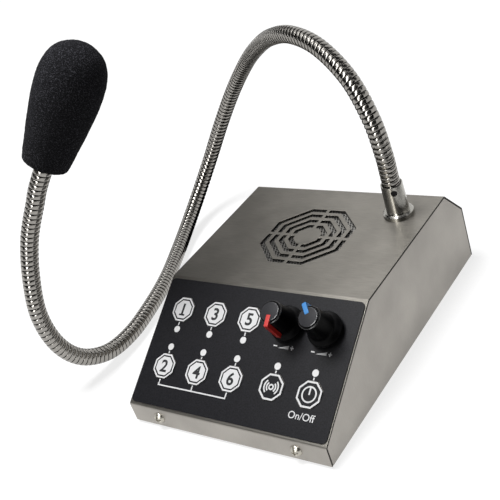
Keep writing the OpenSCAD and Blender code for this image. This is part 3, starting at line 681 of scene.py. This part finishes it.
def add_words(piece: Piece, words: str, size: float, place: Matrix, bold: float) -> None:
    """Adds plain characters to a piece as print.

    Args:
        piece: The piece they join.
        words: The characters.
        size: Their size, in mm.
        place: Where their middle goes.
        bold: How much their strokes are widened, in mm.
    """
    curve = bpy.data.curves.new(piece.name + "_words", "FONT")
    curve.body, curve.size, curve.offset = words, size * MM, bold * MM
    curve.align_x, curve.align_y = "CENTER", "CENTER"
    curve.resolution_u = LETTER_STEPS
    source = link(curve.name, curve)
    flat = bpy.data.meshes.new_from_object(source.evaluated_get(bpy.context.evaluated_depsgraph_get()))
    before = set(piece.mesh.faces)
    piece.mesh.from_mesh(flat)
    verts = list({v for f in piece.since(before) for v in f.verts})
    bmesh.ops.remove_doubles(piece.mesh, verts=verts, dist=WELD)
    low, high = (Vector(f(v.co[i] for v in verts if v.is_valid) for i in range(3)) for f in (min, max))
    piece.stamp(piece.since(before), place @ Matrix.Translation(-(low + high) / 2))
    bpy.data.objects.remove(source)
    bpy.data.curves.remove(curve)
    bpy.data.meshes.remove(flat)


@dataclass
class Panel:
    """The sloping front's own frame, with the places on it: across, up the slope and out of the steel."""

    tilt: float = 31.0
    front_y: float = -90.0
    foot_z: float = 14.0
    film: float = 0.6
    key_top: float = 0.9
    columns: tuple[float, ...] = (-48.8, -25.5, -2.2, 24.2, 47.5)
    numbered: int = 3
    low_row: float = 24.4
    high_row: float = 58.2
    knob_row: float = 58.2
    low_lamp: float = 35.8
    high_lamp: float = 46.4

    def at(self, across: float, up: float, out: float, turn: float = 0.0) -> Matrix:
        """The matrix that puts a shape made at the origin on the panel.

        Args:
            across: Place across the panel.
            up: Place up the slope.
            out: Height out of the steel.
            turn: The shape's turn about the panel's normal.

        Returns:
            The matrix.
        """
        slope = Matrix.Rotation(math.radians(self.tilt), 4, "X")
        foot = Matrix.Translation(Vector((0, self.front_y, self.foot_z)) * MM)
        local = Matrix.Translation(Vector((across, up, out)) * MM)
        return foot @ slope @ local @ Matrix.Rotation(math.radians(turn), 4, "Z")

    def key_place(self, number: int) -> Pair:
        """Where a numbered key sits: odd ones in the high row, even ones in the low row."""
        return self.columns[(number - 1) // 2], self.high_row if number % 2 else self.low_row


@dataclass
class Case:
    """The folded steel case: cover, tray, pad and screws."""

    cover_edge: Edge = Edge(0.15, crease=Crease.SHEET)
    tray_edge: Edge = Edge(0.25, crease=Crease.SHEET)
    pad_edge: Edge = Edge(0.5, 3, Crease.SHEET)
    screw_edge: Edge = Edge(0.35, 3, Crease.TURNED)
    cut_limit: float = 0.9
    wall_limit: float = 0.3
    slot_reach: float = 36.0
    slot_middle: Pair = (0.0, 25.36)

    def in_slot(self, face: Face) -> bool:
        """Whether a face of the cover is a wall of one of its speaker slots."""
        near = math.dist((face.calc_center_median() / MM).xy, self.slot_middle) < self.slot_reach
        return near and abs(face.normal.z) < self.wall_limit

    def build(self) -> None:
        """Rounds and dresses the case's pieces."""
        cover = rounded_copy("top_cover", STEEL_TOP, self.cover_edge)
        faces = cover.mesh.faces
        # The cut edges get the darkened cut steel, partly painted seam shade.
        cover.paint((f for f in faces if abs(f.normal.x) > self.cut_limit), CUT_STEEL)
        # The front-facing lip gets the paler, painted-light copy of the steel.
        cover.paint((f for f in faces if f.normal.y < -self.cut_limit), LIT_SIDE_STEEL)
        # The walls of the speaker slots get painted shade.
        cover.paint((f for f in faces if self.in_slot(f)), SLOT_SHADE)
        settle(cover.keep(self.cover_edge.crease), "housing", "case_steel", "top_cover")
        # The tray's walls get the paler, painted-light copy of the steel too.
        round_off("base_tray", LIT_SIDE_STEEL, "case_steel", self.tray_edge)
        round_off("base_pad", RUBBER, "pad_rubber", self.pad_edge)
        for node in ("front_screws", "rear_screws"):
            round_off(node, ZINC, "zinc_steel", self.screw_edge)
        dress("clinch_nuts", ZINC)


@dataclass
class FrontPrint:
    """The film on the slope, the white print on it and the indicator windows."""

    panel: Panel
    film_edge: Edge = Edge(0.12, crease=Crease.SHEET)
    window_edge: Edge = Edge(0.15)
    line: float = 0.75
    stub_gap: float = 0.5
    key_hole: float = 7.5
    lamp_r: float = 1.95
    rim_w: float = 0.4
    rim_sides: int = 32
    bracket_up: float = 13.6
    mark_up: float = 46.4
    mark_side: float = 5.2
    minus: Pair = (2.2, 0.6)
    plus_half: Pair = (0.6, 0.8)
    plus_shift: float = 0.7
    wedge: Triple = (3.2, -0.9, 1.0)
    word_size: float = 5.4
    word_bold: float = 0.02
    word_place: Pair = (-0.8, 12.8)

    def __post_init__(self) -> None:
        """Starts the print."""
        self.piece = Piece("panel_print", PRINT)

    def put(self, faces: Sequence[Face], across: float, up: float) -> None:
        """Prints faces made at the origin at a place on the film."""
        self.piece.stamp(faces, self.panel.at(across, up, self.panel.film))

    def bar(self, across: float, up: float, width: float, height: float) -> None:
        """Prints a bar, given by its middle and its size."""
        x, y = width * MM / 2, height * MM / 2
        self.put([self.piece.rectangle(x, -y, y)], across, up)

    def stubs(self) -> None:
        """Prints a rim round each window and the short line between it and its key."""
        panel, clear = self.panel, self.lamp_r + self.stub_gap
        for column, across in enumerate(panel.columns):
            spans = [(panel.low_lamp, panel.low_lamp - clear, panel.low_row + self.key_hole)]
            if column < panel.numbered:
                spans.append((panel.high_lamp, panel.high_lamp + clear, panel.high_row - self.key_hole))
            for lamp, start, end in spans:
                self.bar(across, (start + end) / 2, self.line, abs(end - start))
                rim = self.piece.regular(self.rim_sides, 2 * self.lamp_r * MM)
                self.put(self.piece.frame_of(rim, self.rim_w * MM), across, lamp)

    def bracket(self) -> None:
        """Prints the line that joins the numbered keys from below."""
        left, middle, right = self.panel.columns[:self.panel.numbered]
        self.bar(middle, self.bracket_up, right - left + self.line, self.line)
        top = self.panel.low_row - self.key_hole
        rise = top - self.bracket_up - self.line / 2
        for across in (left, middle, right):
            self.bar(across, top - rise / 2, self.line, rise)

    def volume_marks(self) -> None:
        """Prints a minus, a rising wedge and a plus below each knob."""
        half, low, high = (size * MM for size in self.wedge)
        for across in self.panel.columns[self.panel.numbered:]:
            for side in (-1, 1):
                self.bar(across + side * self.mark_side, self.mark_up, *self.minus)
            for side in (-1, 1):
                self.bar(across + self.mark_side, self.mark_up + side * self.plus_shift, *self.plus_half)
            self.put([self.piece.outline([(-half, low), (half, low), (half, high)])], across, self.mark_up)

    def build(self) -> None:
        """Makes the film, its print and the windows."""
        round_off("front_overlay", FILM, "overlay_print", self.film_edge)
        self.stubs()
        self.bracket()
        self.volume_marks()
        shift, up = self.word_place
        place = self.panel.at(self.panel.columns[-1] + shift, up, self.panel.film)
        add_words(self.piece, "On/Off", self.word_size, place, self.word_bold)
        settle(self.piece.build(), "housing", "overlay_print")
        round_off("indicator_windows", WINDOW, "window_plastic", self.window_edge)


class Icon(Enum):
    """What is drawn on a key."""

    NUMBER = "number"
    CALL = "call"
    POWER = "power"


@dataclass
class Key:
    """One eight-sided film key with its printed frame and its number or sign."""

    panel: Panel
    node: str
    icon: Icon
    where: Pair
    number: int = 0
    edge: Edge = Edge(0.15, crease=Crease.SHEET)
    sides: int = 8
    across: float = 14.0
    line: float = 0.92
    sign_frame: float = 1.1
    dark_gap: float = 0.8
    digit: float = 9.6
    digit_bold: float = 0.24
    one_foot: Triple = (1.9, -3.7, -2.7)
    icon_line: float = 0.85
    arc_step: float = 9.0
    dot_r: float = 1.25
    wave_radii: Pair = (2.75, 4.3)
    wave_sweep: float = 96.0
    power_r: float = 4.0
    power_bar: Pair = (-0.2, 3.6)

    def __post_init__(self) -> None:
        """Starts the print and finds its places, on the key and on top of white print."""
        self.piece = Piece(self.node + "_print", PRINT)
        self.place, self.over = (self.panel.at(*self.where, self.panel.key_top + up) for up in (0, PRINT_T))

    def octagon(self, across: float, band: float) -> None:
        """Prints an octagon, filled where it has no band.

        Args:
            across: Size across the flats.
            band: Width of its line, or 0 for a filled one.
        """
        face = self.piece.regular(self.sides, across * MM)
        faces = self.piece.frame_of(face, band * MM) if band else [face]
        self.piece.stamp(faces, self.place)

    def arc(self, radius: float, start: float = 0.0, sweep: float = 360.0) -> None:
        """Prints an arc.

        Args:
            radius: Radius of the line's middle.
            start: Angle where it starts.
            sweep: Angle that it covers.
        """
        turn = Matrix.Rotation(math.radians(start), 4, "Z")
        ends = [turn @ Vector(((radius + side * self.icon_line / 2) * MM, 0, 0)) for side in (-1, 1)]
        before = set(self.piece.mesh.faces)
        self.piece.spin(ends, math.radians(sweep), int(sweep / self.arc_step), sweep >= 360)
        self.piece.stamp(self.piece.since(before), self.place)

    def draw_number(self) -> None:
        """Prints a white field with a dark number on it, and the foot that the font's 1 lacks."""
        self.octagon(self.across - 2 * (self.line + self.dark_gap), 0.0)
        white = set(self.piece.mesh.faces)
        add_words(self.piece, str(self.number), self.digit, self.over, self.digit_bold)
        if self.number == 1:
            self.piece.stamp([self.piece.rectangle(*(size * MM for size in self.one_foot))], self.over)
        self.piece.paint(self.piece.since(white), DARK_PRINT)

    def draw_call(self) -> None:
        """Prints a ring with waves on both sides."""
        self.arc(self.dot_r)
        for side in (0, 180):
            for radius in self.wave_radii:
                self.arc(radius, side - self.wave_sweep / 2, self.wave_sweep)

    def draw_power(self) -> None:
        """Prints a ring with a bar in it."""
        self.arc(self.power_r)
        low, high = (size * MM for size in self.power_bar)
        self.piece.stamp([self.piece.rectangle(self.icon_line / 2 * MM, low, high)], self.place)

    def build(self) -> None:
        """Makes the key and its print."""
        round_off(self.node, KEY_FILM, "key_plastic", self.edge, self.node)
        self.octagon(self.across, self.line if self.icon is Icon.NUMBER else self.line * self.sign_frame)
        draw = {Icon.NUMBER: self.draw_number, Icon.CALL: self.draw_call, Icon.POWER: self.draw_power}
        draw[self.icon]()
        settle(self.piece.build(), self.node, "key_plastic")


@dataclass
class Knob:
    """One volume knob: a smooth body on a flared skirt, a cap disc and a coloured pointer.

    Its turn is the pointer's angle from straight down the panel. Profiles hold radii and heights, and a rim
    is what lies outside a radius and above a height.
    """

    panel: Panel
    name: str
    column: int
    turn: float
    tint: Finish
    slot: str
    base: float = 3.2
    steps: int = 96
    body_rim: Pair = (5.9, 17.6)
    cap_rim: Pair = (4.85, 18.6)
    pointer_w: float = 2.5
    pointer_edge: Edge = Edge(0.55, 4, Crease.TURNED)
    body_profile: tuple[Pair, ...] = (
        (0, 0.5), (8.9, 0.5), (9.3, 0.0), (9.7, 0.08), (9.9, 0.35), (9.9, 1.3), (9.75, 1.65), (9.3, 2.1),
        (8.65, 2.75), (8.0, 3.5), (7.6, 4.2), (7.35, 5.0), (7.22, 6.0), (6.95, 9.5), (6.7, 13.0),
        (6.42, 17.0), (6.36, 17.7), (6.24, 18.02), (6.0, 18.18), (5.7, 18.2), (5.5, 18.2), (5.34, 18.1),
        (5.3, 17.7), (0, 17.7))
    cap_profile: tuple[Pair, ...] = (
        (0, 17.75), (5.2, 17.75), (5.2, 18.7), (5.12, 18.9), (4.9, 19.0), (0, 18.94))
    pointer_profile: tuple[Pair, ...] = (
        (1.8, 17.8), (1.8, 19.0), (2.3, 19.22), (7.9, 19.28), (8.35, 19.1), (8.5, 18.6), (9.48, 5.2),
        (9.1, 4.85), (6.9, 4.9), (5.9, 17.0), (5.5, 17.8))

    def __post_init__(self) -> None:
        """Finds the knob's place on the panel."""
        across = self.panel.columns[self.column]
        self.place = self.panel.at(across, self.panel.knob_row, self.base, self.turn - 90)

    def turned(self, piece: Piece, profile: Sequence[Pair], rim: Pair, finish: Finish) -> Piece:
        """Makes a turned piece of the knob, in its place.

        Args:
            piece: The empty piece.
            profile: Its profile.
            rim: Radius and height past which its rim lies.
            finish: The rim's finish.

        Returns:
            The piece, still under construction.
        """
        piece.lathe(profile, self.steps)
        middles = [(f, f.calc_center_median() / MM) for f in piece.mesh.faces]
        piece.paint((f for f, m in middles if math.hypot(m.x, m.y) > rim[0] and m.z > rim[1]), finish)
        piece.place(piece.mesh.verts, self.place)
        return piece

    def pointer(self) -> Piece:
        """Makes the pointer.

        Returns:
            The pointer, still under construction.
        """
        piece = Piece(self.name + "_mark", self.tint)
        face = piece.outline([(r * MM, z * MM) for r, z in self.pointer_profile])
        middle = Matrix.Translation((0, 0, -self.pointer_w * MM / 2))
        upright = Matrix.Rotation(math.pi / 2, 4, "X")
        piece.stamp([face], self.place @ upright @ middle, self.pointer_w)
        bmesh.ops.recalc_face_normals(piece.mesh, faces=piece.mesh.faces)
        piece.bevel(self.pointer_edge)
        return piece

    def build(self) -> None:
        """Makes the knob's pieces."""
        body = self.name + "_volume"
        grip = Piece(self.name + "_grip", KNOB_PLASTIC)
        grip = self.turned(grip, self.body_profile, self.body_rim, KNOB_EDGE)
        settle(grip.build(Crease.TURNED), body, "knob_plastic", self.name + "_knob")
        cap = Piece(self.name + "_disc", CAP_PLASTIC)
        # The cap's rim gets the painted-highlight edge finish.
        cap = self.turned(cap, self.cap_profile, self.cap_rim, CAP_HIGHLIGHT_EDGE)
        settle(cap.build(), body, "cap_plastic", self.name + "_cap")
        settle(self.pointer().build(self.pointer_edge.crease), body, self.slot, self.name + "_pointer")
        dress(self.name + "_shaft", CONTROL_METAL)


@dataclass
class Grille:
    """The perforated sheet behind the speaker slots, and the speaker below it."""

    pitch: float = 1.7
    web: float = 0.2
    sheet_t: float = 0.1
    cells: int = 42
    lay: float = 22.5
    sides: int = 8
    # The speaker frame's finish is partly painted shade under the slots.
    speaker: tuple[tuple[str, Finish], ...] = (
        ("speaker_frame", SPEAKER_PAINT_AND_SHADE), ("speaker_cone", CONE_PAPER), ("speaker_magnet", MAGNET_IRON),
        ("speaker_studs", ZINC), ("speaker_nuts", ZINC))

    def build(self) -> None:
        """Makes the perforated sheet and dresses the speaker."""
        low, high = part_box("grille_mesh")
        middle, reach = (low + high) / 2, (high.x - low.x) / 2
        piece = Piece("perforated_sheet", MESH_STEEL)
        mesh = piece.mesh
        bmesh.ops.create_grid(mesh, x_segments=self.cells, y_segments=self.cells,
                              size=self.cells * self.pitch * MM / 2)
        piece.place(mesh.verts, Matrix.Rotation(math.radians(self.lay), 4, "Z"))
        squares = list(mesh.faces)
        bmesh.ops.inset_individual(mesh, faces=squares, thickness=self.web * MM, use_even_offset=True)
        bmesh.ops.delete(mesh, geom=squares, context="FACES")
        for side in range(self.sides):
            angle = side * math.tau / self.sides
            way = Vector((math.cos(angle), math.sin(angle), 0))
            bmesh.ops.bisect_plane(mesh, geom=[*mesh.verts, *mesh.edges, *mesh.faces], plane_co=way * reach,
                                   plane_no=way, clear_outer=True)
        piece.stamp(list(mesh.faces), Matrix.Translation((middle.x, middle.y, low.z)), self.sheet_t)
        settle(piece.build(), "housing", "mesh_steel", "grille_mesh")
        for node, finish in self.speaker:
            dress(node, finish)


@dataclass
class Route:
    """The gooseneck's centre line: a smooth curve through its bend points, with a frame carried along it.

    The bends are counted from the foot, in steps of the grid. What is laid out from them is in metres.
    """

    foot: Triple = (46.0, 53.0, 54.173)
    start: float = 10.0
    grid: float = 10.0
    steps: int = 24
    first_side: Triple = (0.9, 0.43, 0.0)
    bends: tuple[Triple, ...] = (
        (0, 0, 2.6), (0, 0, 3.9), (-0.4, 0.3, 5.9), (-1.6, 1, 8), (-3.6, 1.9, 9.5), (-5.9, 2.9, 9.9),
        (-8.4, 4.3, 9.2), (-11, 6.1, 7.8), (-13.6, 7.7, 6), (-16, 8.4, 3.7), (-17.9, 8.2, 1.2),
        (-19.3, 7.3, -1.3), (-19.9, 5.4, -3.3), (-19.6, 2.9, -4.4), (-18.6, 0.1, -4.7), (-17.4, -2.9, -4.7),
        (-16.6, -5.8, -4.7), (-16.2, -8.3, -4.7), (-16.2, -10.5, -4.4), (-16.5, -12.2, -3.4),
        (-16.8, -13.1, -1.7), (-17, -13.2, 0.5), (-16.9, -12.6, 2.8), (-16.5, -11.8, 5), (-15.7, -11, 6.9),
        (-15.3, -10.6, 7.8), (-14.54, -9.96, 9.08), (-14.17, -9.64, 9.7))
    points: list[Vector] = field(default_factory=list)
    lengths: list[float] = field(default_factory=list)
    sides: list[Vector] = field(default_factory=list)
    tangents: list[Vector] = field(default_factory=list)

    def __post_init__(self) -> None:
        """Lays out the curve and carries a side direction along it."""
        foot = Vector(self.foot)
        knots = [foot + Vector((0, 0, self.start))] + [foot + self.grid * Vector(b) for b in self.bends]
        knots = [2 * knots[0] - knots[1], *knots, 2 * knots[-1] - knots[-2]]
        for a, b, c, d in zip(knots, knots[1:], knots[2:], knots[3:]):
            for step in range(self.steps):
                self.points.append(self.between(a, b, c, d, step / self.steps) * MM)
        self.points.append(knots[-2] * MM)
        self.lengths = [0.0]
        for one, two in zip(self.points, self.points[1:]):
            self.lengths.append(self.lengths[-1] + (two - one).length)
        ends = [self.points[0], *self.points, self.points[-1]]
        self.tangents = [(c - a).normalized() for a, c in zip(ends, ends[2:])]
        side = Vector(self.first_side).normalized()
        for tangent in self.tangents:
            side = (side - tangent * side.dot(tangent)).normalized()
            self.sides.append(side)

    @staticmethod
    def between(a: Vector, b: Vector, c: Vector, d: Vector, t: float) -> Vector:
        """A point between b and c on the smooth curve through four points."""
        square, cube = 2 * a - 5 * b + 4 * c - d, 3 * b - a - 3 * c + d
        return 0.5 * (2 * b + (c - a) * t + square * t ** 2 + cube * t ** 3)

    def at(self, length: float) -> tuple[Vector, Vector, Vector]:
        """The curve's place and cross directions.

        Args:
            length: Distance along the curve, in metres.

        Returns:
            The centre, a side direction and the direction square to it.
        """
        low, high = 0, len(self.lengths) - 1
        while high - low > 1:
            middle = (low + high) // 2
            low, high = (middle, high) if self.lengths[middle] <= length else (low, middle)
        share = (length - self.lengths[low]) / (self.lengths[high] - self.lengths[low])
        centre = self.points[low].lerp(self.points[high], share)
        tangent = self.tangents[low].lerp(self.tangents[high], share).normalized()
        side = self.sides[low].lerp(self.sides[high], share)
        side = (side - tangent * side.dot(tangent)).normalized()
        return centre, side, tangent.cross(side)


@dataclass(frozen=True)
class Stretch:
    """A stretch of the hose that bends between two bodies, by its shares of the hose's length."""

    name: str
    parent: str
    child: str
    cut_start: float
    cut_end: float
    flex_start: float
    flex_end: float
    nodes: tuple[str, ...]


@dataclass
class Gooseneck:
    """The wound steel hose, in four stretches, and its collar. The profile holds radii and heights."""

    route: Route
    pitch: float = 2.95
    turn_steps: int = 24
    first_turns: int = 8
    seam: float = 5 * WELD
    outer: float = 5.26
    inner: float = 4.8
    collar_edge: Edge = Edge(0.45, 4, Crease.TURNED)
    screw_edge: Edge = Edge(0.2)
    profile: tuple[Pair, ...] = (
        (4.8, 0.0), (5.06, 0.04), (5.14, 0.16), (5.21, 0.55), (5.26, 1.28), (5.21, 2.0), (5.14, 2.4),
        (5.06, 2.52), (4.8, 2.56), (4.8, 2.95))
    stretches: tuple[Stretch, ...] = (
        Stretch("hose_foot", "housing", "neck_rise", 0.0, 0.12, 0.03, 0.09,
                ("neck_foot", "neck_flex_foot", "neck_rise")),
        Stretch("hose_crown", "neck_rise", "neck_fall", 0.12, 0.48, 0.15, 0.225,
                ("neck_flex_crown", "neck_fall")),
        Stretch("hose_loop", "neck_fall", "neck_front", 0.48, 0.87, 0.735, 0.825,
                ("neck_run", "neck_flex_loop", "neck_front")),
        Stretch("hose_tip", "neck_front", "microphone", 0.87, 1.0, 0.915, 0.96,
                ("neck_flex_tip", "neck_tip")))

    def winding(self) -> Piece:
        """Winds the whole hose straight up along z.

        Returns:
            The hose, with the depth of its grooves at each point.
        """
        hose = Piece("hose", HOSE_STEEL)
        mesh, longest, turns = hose.mesh, self.route.lengths[-1], self.first_turns
        chain = [(r * MM, 0, z * MM) for r, z in self.profile]
        rise = self.pitch * MM / self.turn_steps
        hose.spin(chain, math.tau * turns, self.turn_steps * turns, False, rise)
        while turns * self.pitch * MM < longest:
            more = bmesh.ops.duplicate(mesh, geom=[*mesh.verts, *mesh.edges, *mesh.faces])["geom"]
            points = [g for g in more if isinstance(g, Point)]
            bmesh.ops.translate(mesh, vec=(0, 0, turns * self.pitch * MM), verts=points)
            turns *= 2
        bmesh.ops.remove_doubles(mesh, verts=mesh.verts, dist=self.seam)
        past = [f for f in mesh.faces if f.calc_center_median().z > longest]
        bmesh.ops.delete(mesh, geom=past, context="FACES")
        bmesh.ops.recalc_face_normals(mesh, faces=mesh.faces)
        mesh.verts.layers.float_vector.new("along")
        depth = mesh.verts.layers.float.new("groove")
        for point in mesh.verts:
            radius = math.hypot(point.co.x, point.co.y) / MM
            point[depth] = (self.outer - radius) / (self.outer - self.inner)
        return hose

    def bend(self, mesh: Mesh) -> None:
        """Lays straight hose along the route and notes which way it runs.

        Args:
            mesh: The hose.
        """
        along = mesh.verts.layers.float_vector["along"]
        for point in mesh.verts:
            x, y, z = point.co
            centre, side, cross = self.route.at(min(max(z, 0.0), self.route.lengths[-1]))
            point.co = centre + side * x + cross * y
            point[along] = side.cross(cross)

    def build(self) -> None:
        """Makes the hose's stretches and the collar."""
        whole = self.winding()
        longest = self.route.lengths[-1]
        for stretch in self.stretches:
            piece = Piece(stretch.name, HOSE_STEEL, whole.mesh.copy())
            low = stretch.cut_start * longest
            high = math.inf if stretch is self.stretches[-1] else stretch.cut_end * longest
            spare = [f for f in piece.mesh.faces if not low <= f.calc_center_median().z < high]
            bmesh.ops.delete(piece.mesh, geom=spare, context="FACES")
            self.bend(piece.mesh)
            thing = piece.keep(Crease.WOUND)
            start, end = (self.route.at(s * longest)[0] for s in (stretch.flex_start, stretch.flex_end))
            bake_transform(thing)
            label(thing, "hose_chrome", *stretch.nodes)
        whole.mesh.free()
        round_off("gooseneck_collar", CHROME, "collar_chrome", self.collar_edge)
        round_off("collar_set_screw", BLACK_STEEL, "set_screw_steel", self.screw_edge)
        dress("collar_nut", ZINC)


@dataclass
class Microphone:
    """The foam windscreen, with the ferrule and capsule under it. Its points hold radii and heights."""

    route: Route
    lap: float = 9.5
    steps: int = 160
    rows: float = 0.9
    hem: float = 2.5
    passes: int = 3
    ease: float = 0.5
    grain: float = 1.6
    fine: float = 0.5
    rough: float = 0.16
    sink: float = 0.6
    radii: tuple[Pair, ...] = (
        (5.6, 5.0), (5.7, 1.0), (6.2, 0.3), (12.1, 0.0), (12.75, 0.1), (13.05, 0.4), (13.3, 1.6),
        (14.1, 5.4), (14.95, 12.0), (15.95, 18.0), (16.5, 21.5), (17.05, 26.0), (17.7, 31.0), (18.3, 36.0),
        (18.7, 41.0), (18.8, 44.0), (18.85, 47.0), (18.7, 50.0), (18.35, 53.5), (17.7, 57.0), (16.75, 60.0),
        (15.0, 63.5), (12.5, 66.5), (9.3, 68.7), (6.2, 70.2), (3.1, 71.1), (0, 71.4))

    def profile(self) -> list[Pair]:
        """Sets the profile's points close enough for the foam's grain.

        Returns:
            The profile, from the middle of the foot to the tip.
        """
        made = [(0.0, self.radii[0][1])]
        for (r, z), (next_r, next_z) in zip(self.radii, self.radii[1:]):
            count = max(1, round(math.hypot(next_r - r, next_z - z) / self.rows))
            made += [(r + (next_r - r) * i / count, z + (next_z - z) * i / count) for i in range(count)]
        return [*made, self.radii[-1]]

    def place(self) -> Matrix:
        """Finds where the windscreen's foot goes, and which way it looks.

        Returns:
            The matrix that puts it there.
        """
        way = self.route.tangents[-1]
        foot = self.route.points[-1] - way * self.lap * MM
        return Matrix.Translation(foot) @ way.to_track_quat("Z", "Y").to_matrix().to_4x4()

    def build(self) -> None:
        """Makes the windscreen and dresses what is under it."""
        piece = Piece("foam_windscreen", FOAM)
        piece.lathe(self.profile(), self.steps)
        mesh = piece.mesh
        bmesh.ops.recalc_face_normals(mesh, faces=mesh.faces)
        above = [v for v in mesh.verts if v.co.z > self.hem * MM]
        for _ in range(self.passes):
            bmesh.ops.smooth_vert(mesh, verts=above, factor=self.ease, use_axis_x=True, use_axis_y=True,
                                  use_axis_z=True)
        mesh.normal_update()
        for point in mesh.verts:
            coarse, fine = (noise.noise(point.co / (self.grain * size * MM)) for size in (1, self.fine))
            point.co += point.normal * (coarse + self.fine * fine - self.sink) * self.rough * MM
        piece.place(mesh.verts, self.place())
        thing = settle(piece.build(Crease.SOFT), "microphone", "foam", "windscreen")
        dress("microphone_ferrule", FERRULE)
        dress("microphone_capsule", FERRULE)


@dataclass
class Rear:
    """The sockets in the rear wall."""

    edge: Edge = Edge(0.25)

    def build(self) -> None:
        """Rounds and dresses the sockets."""
        for node in ("power_inlet", "line_socket"):
            round_off(node, BLACK_PLASTIC, "black_plastic", self.edge)


@dataclass
class Inside:
    """The boards and small pieces inside the case."""

    finishes: tuple[tuple[str, Finish], ...] = (
        ("keypad_board", LAMINATE), ("key_switches", BLACK_PLASTIC), ("indicator_lamps", WINDOW),
        ("board_standoffs", ZINC), ("board_screws", ZINC), ("volume_controls", CONTROL_METAL),
        ("volume_nuts", ZINC), ("amplifier_board", LAMINATE), ("amplifier_standoffs", ZINC),
        ("amplifier_screws", ZINC), ("capacitors", SLEEVE))

    def build(self) -> None:
        """Dresses each piece."""
        for node, finish in self.finishes:
            dress(node, finish)


@dataclass(frozen=True)
class Lamp:
    """An area lamp, in metres and watts."""

    name: str
    shape: str
    place: Triple
    aim: Triple
    size: Pair
    power: float

    def make(self) -> Thing:
        """Puts the lamp in its place.

        Returns:
            The lamp, turned to its aim.
        """
        data = bpy.data.lights.new(self.name, "AREA")
        data.shape, data.energy = self.shape, self.power
        data.size, data.size_y = self.size
        thing = link(self.name, data)
        thing.location = self.place
        thing.rotation_mode = "QUATERNION"
        thing.rotation_quaternion = (Vector(self.aim) - Vector(self.place)).to_track_quat("-Z", "Y")
        return thing


@dataclass(frozen=True)
class Card:
    """A dark card, in metres, that only reflections show. It casts no shadow."""

    place: Triple
    aim: Triple
    width: float
    height: float

    def make(self, name: str) -> None:
        """Puts the card in its place.

        Args:
            name: Its name.
        """
        piece = Piece(name, CARD_BLACK)
        face = piece.rectangle(self.width / 2, -self.height / 2, self.height / 2)
        turn = (Vector(self.aim) - Vector(self.place)).to_track_quat("Z", "Y").to_matrix().to_4x4()
        piece.place(face.verts, Matrix.Translation(self.place) @ turn)
        thing = piece.keep()
        thing.visible_camera = thing.visible_diffuse = thing.visible_shadow = False


@dataclass
class Studio:
    """A pale floor, a white surround, the camera, a soft lamp and a strip, and dark cards."""

    camera_place: Triple = (311.96, -355.73, 346.8)
    right: Triple = (0.80285, 0.52042, -0.29086)
    down: Triple = (0.08092, -0.57847, -0.81168)
    forward: Triple = (-0.59067, 0.62812, -0.50654)
    lens: float = 71.603
    sensor: float = 36.0
    clip: Pair = (0.01, 50.0)
    ambient: float = 0.14
    floor_half: float = 6.0
    lamp: Lamp = Lamp("soft_lamp", "DISK", (-0.2, -0.12, 1.2), (0.0, 0.0, 0.05), (0.55, 0.55), 16.5)
    strip: Lamp = Lamp("strip_lamp", "RECTANGLE", (0.05, -1.0, 0.75), (0.0, 0.0, 0.1), (0.3, 1.3), 14.0)
    cards: tuple[Card, ...] = (
        Card((0.75, -0.75, 0.7), (-0.03, 0.03, 0.1), 1.7, 1.5),
        Card((-0.5, -1.1, 0.6), (-0.03, 0.03, 0.1), 0.9, 1.5),
        Card((-0.36, 0.04, 0.345), (0.0, 0.04, 0.345), 0.9, 0.31),
        Card((0.03, 0.1, 0.75), (0.03, 0.1, 0.0), 0.55, 0.55),
        Card((0.28, 0.0, 0.004), (0.28, 0.0, 1.0), 0.22, 0.5),
        Card((-0.45, 0.36, 0.004), (-0.45, 0.36, 1.0), 0.7, 0.6),
        Card((0.42, 0.36, 0.75), (-0.1, 0.03, 0.1), 0.6, 0.6))

    def camera(self) -> None:
        """Makes the camera at the photograph's place."""
        data = bpy.data.cameras.new("camera")
        data.lens, data.sensor_width = self.lens, self.sensor
        data.clip_start, data.clip_end = self.clip
        thing = link("camera", data)
        axes = (Vector(self.right), -Vector(self.down), -Vector(self.forward))
        turn = Matrix(axes).transposed().to_4x4()
        thing.matrix_world = Matrix.Translation(Vector(self.camera_place) * MM) @ turn
        bpy.context.scene.camera = thing

    def surround(self) -> None:
        """Makes the white surround, which lights the part less than it shows."""
        world = bpy.data.worlds.new("surround")
        sheet = NodeSheet(world, "Background")
        sheet.shade({"Color": WHITE, "Strength": sheet.span(sheet.seen(), self.ambient, 1.0)})
        bpy.context.scene.world = world

    def floor(self) -> None:
        """Makes the floor."""
        piece = Piece("floor", FloorFinish())
        piece.rectangle(self.floor_half, -self.floor_half, self.floor_half)
        thing = piece.keep()

    def build(self) -> None:
        """Sets up the whole studio. The strip puts a streak on bright metal and lights nothing else."""
        bpy.context.scene.view_settings.view_transform = "Standard"
        self.camera()
        self.surround()
        self.floor()
        self.lamp.make()
        strip = self.strip.make()
        strip.visible_camera = strip.visible_diffuse = False
        for number, card in enumerate(self.cards):
            card.make(f"card_{number}")


def main() -> None:
    """Builds the station and its studio."""
    logging.basicConfig(level=logging.INFO, format="%(message)s")
    panel = Panel()
    route = Route()
    Studio().build()
    Gooseneck(route).build()
    Case().build()
    FrontPrint(panel).build()
    for number in range(1, 2 * panel.numbered + 1):
        Key(panel, f"key_{number}", Icon.NUMBER, panel.key_place(number), number).build()
    for icon, across in zip((Icon.CALL, Icon.POWER), panel.columns[panel.numbered:]):
        Key(panel, "key_" + icon.value, icon, (across, panel.low_row)).build()
    Knob(panel, "outside", column=3, turn=4.0, tint=RED, slot="pointer_red").build()
    Knob(panel, "inside", column=4, turn=-145.0, tint=BLUE, slot="pointer_blue").build()
    Grille().build()
    Microphone(route).build()
    Rear().build()
    Inside().build()


if __name__ == "__main__":
    main()
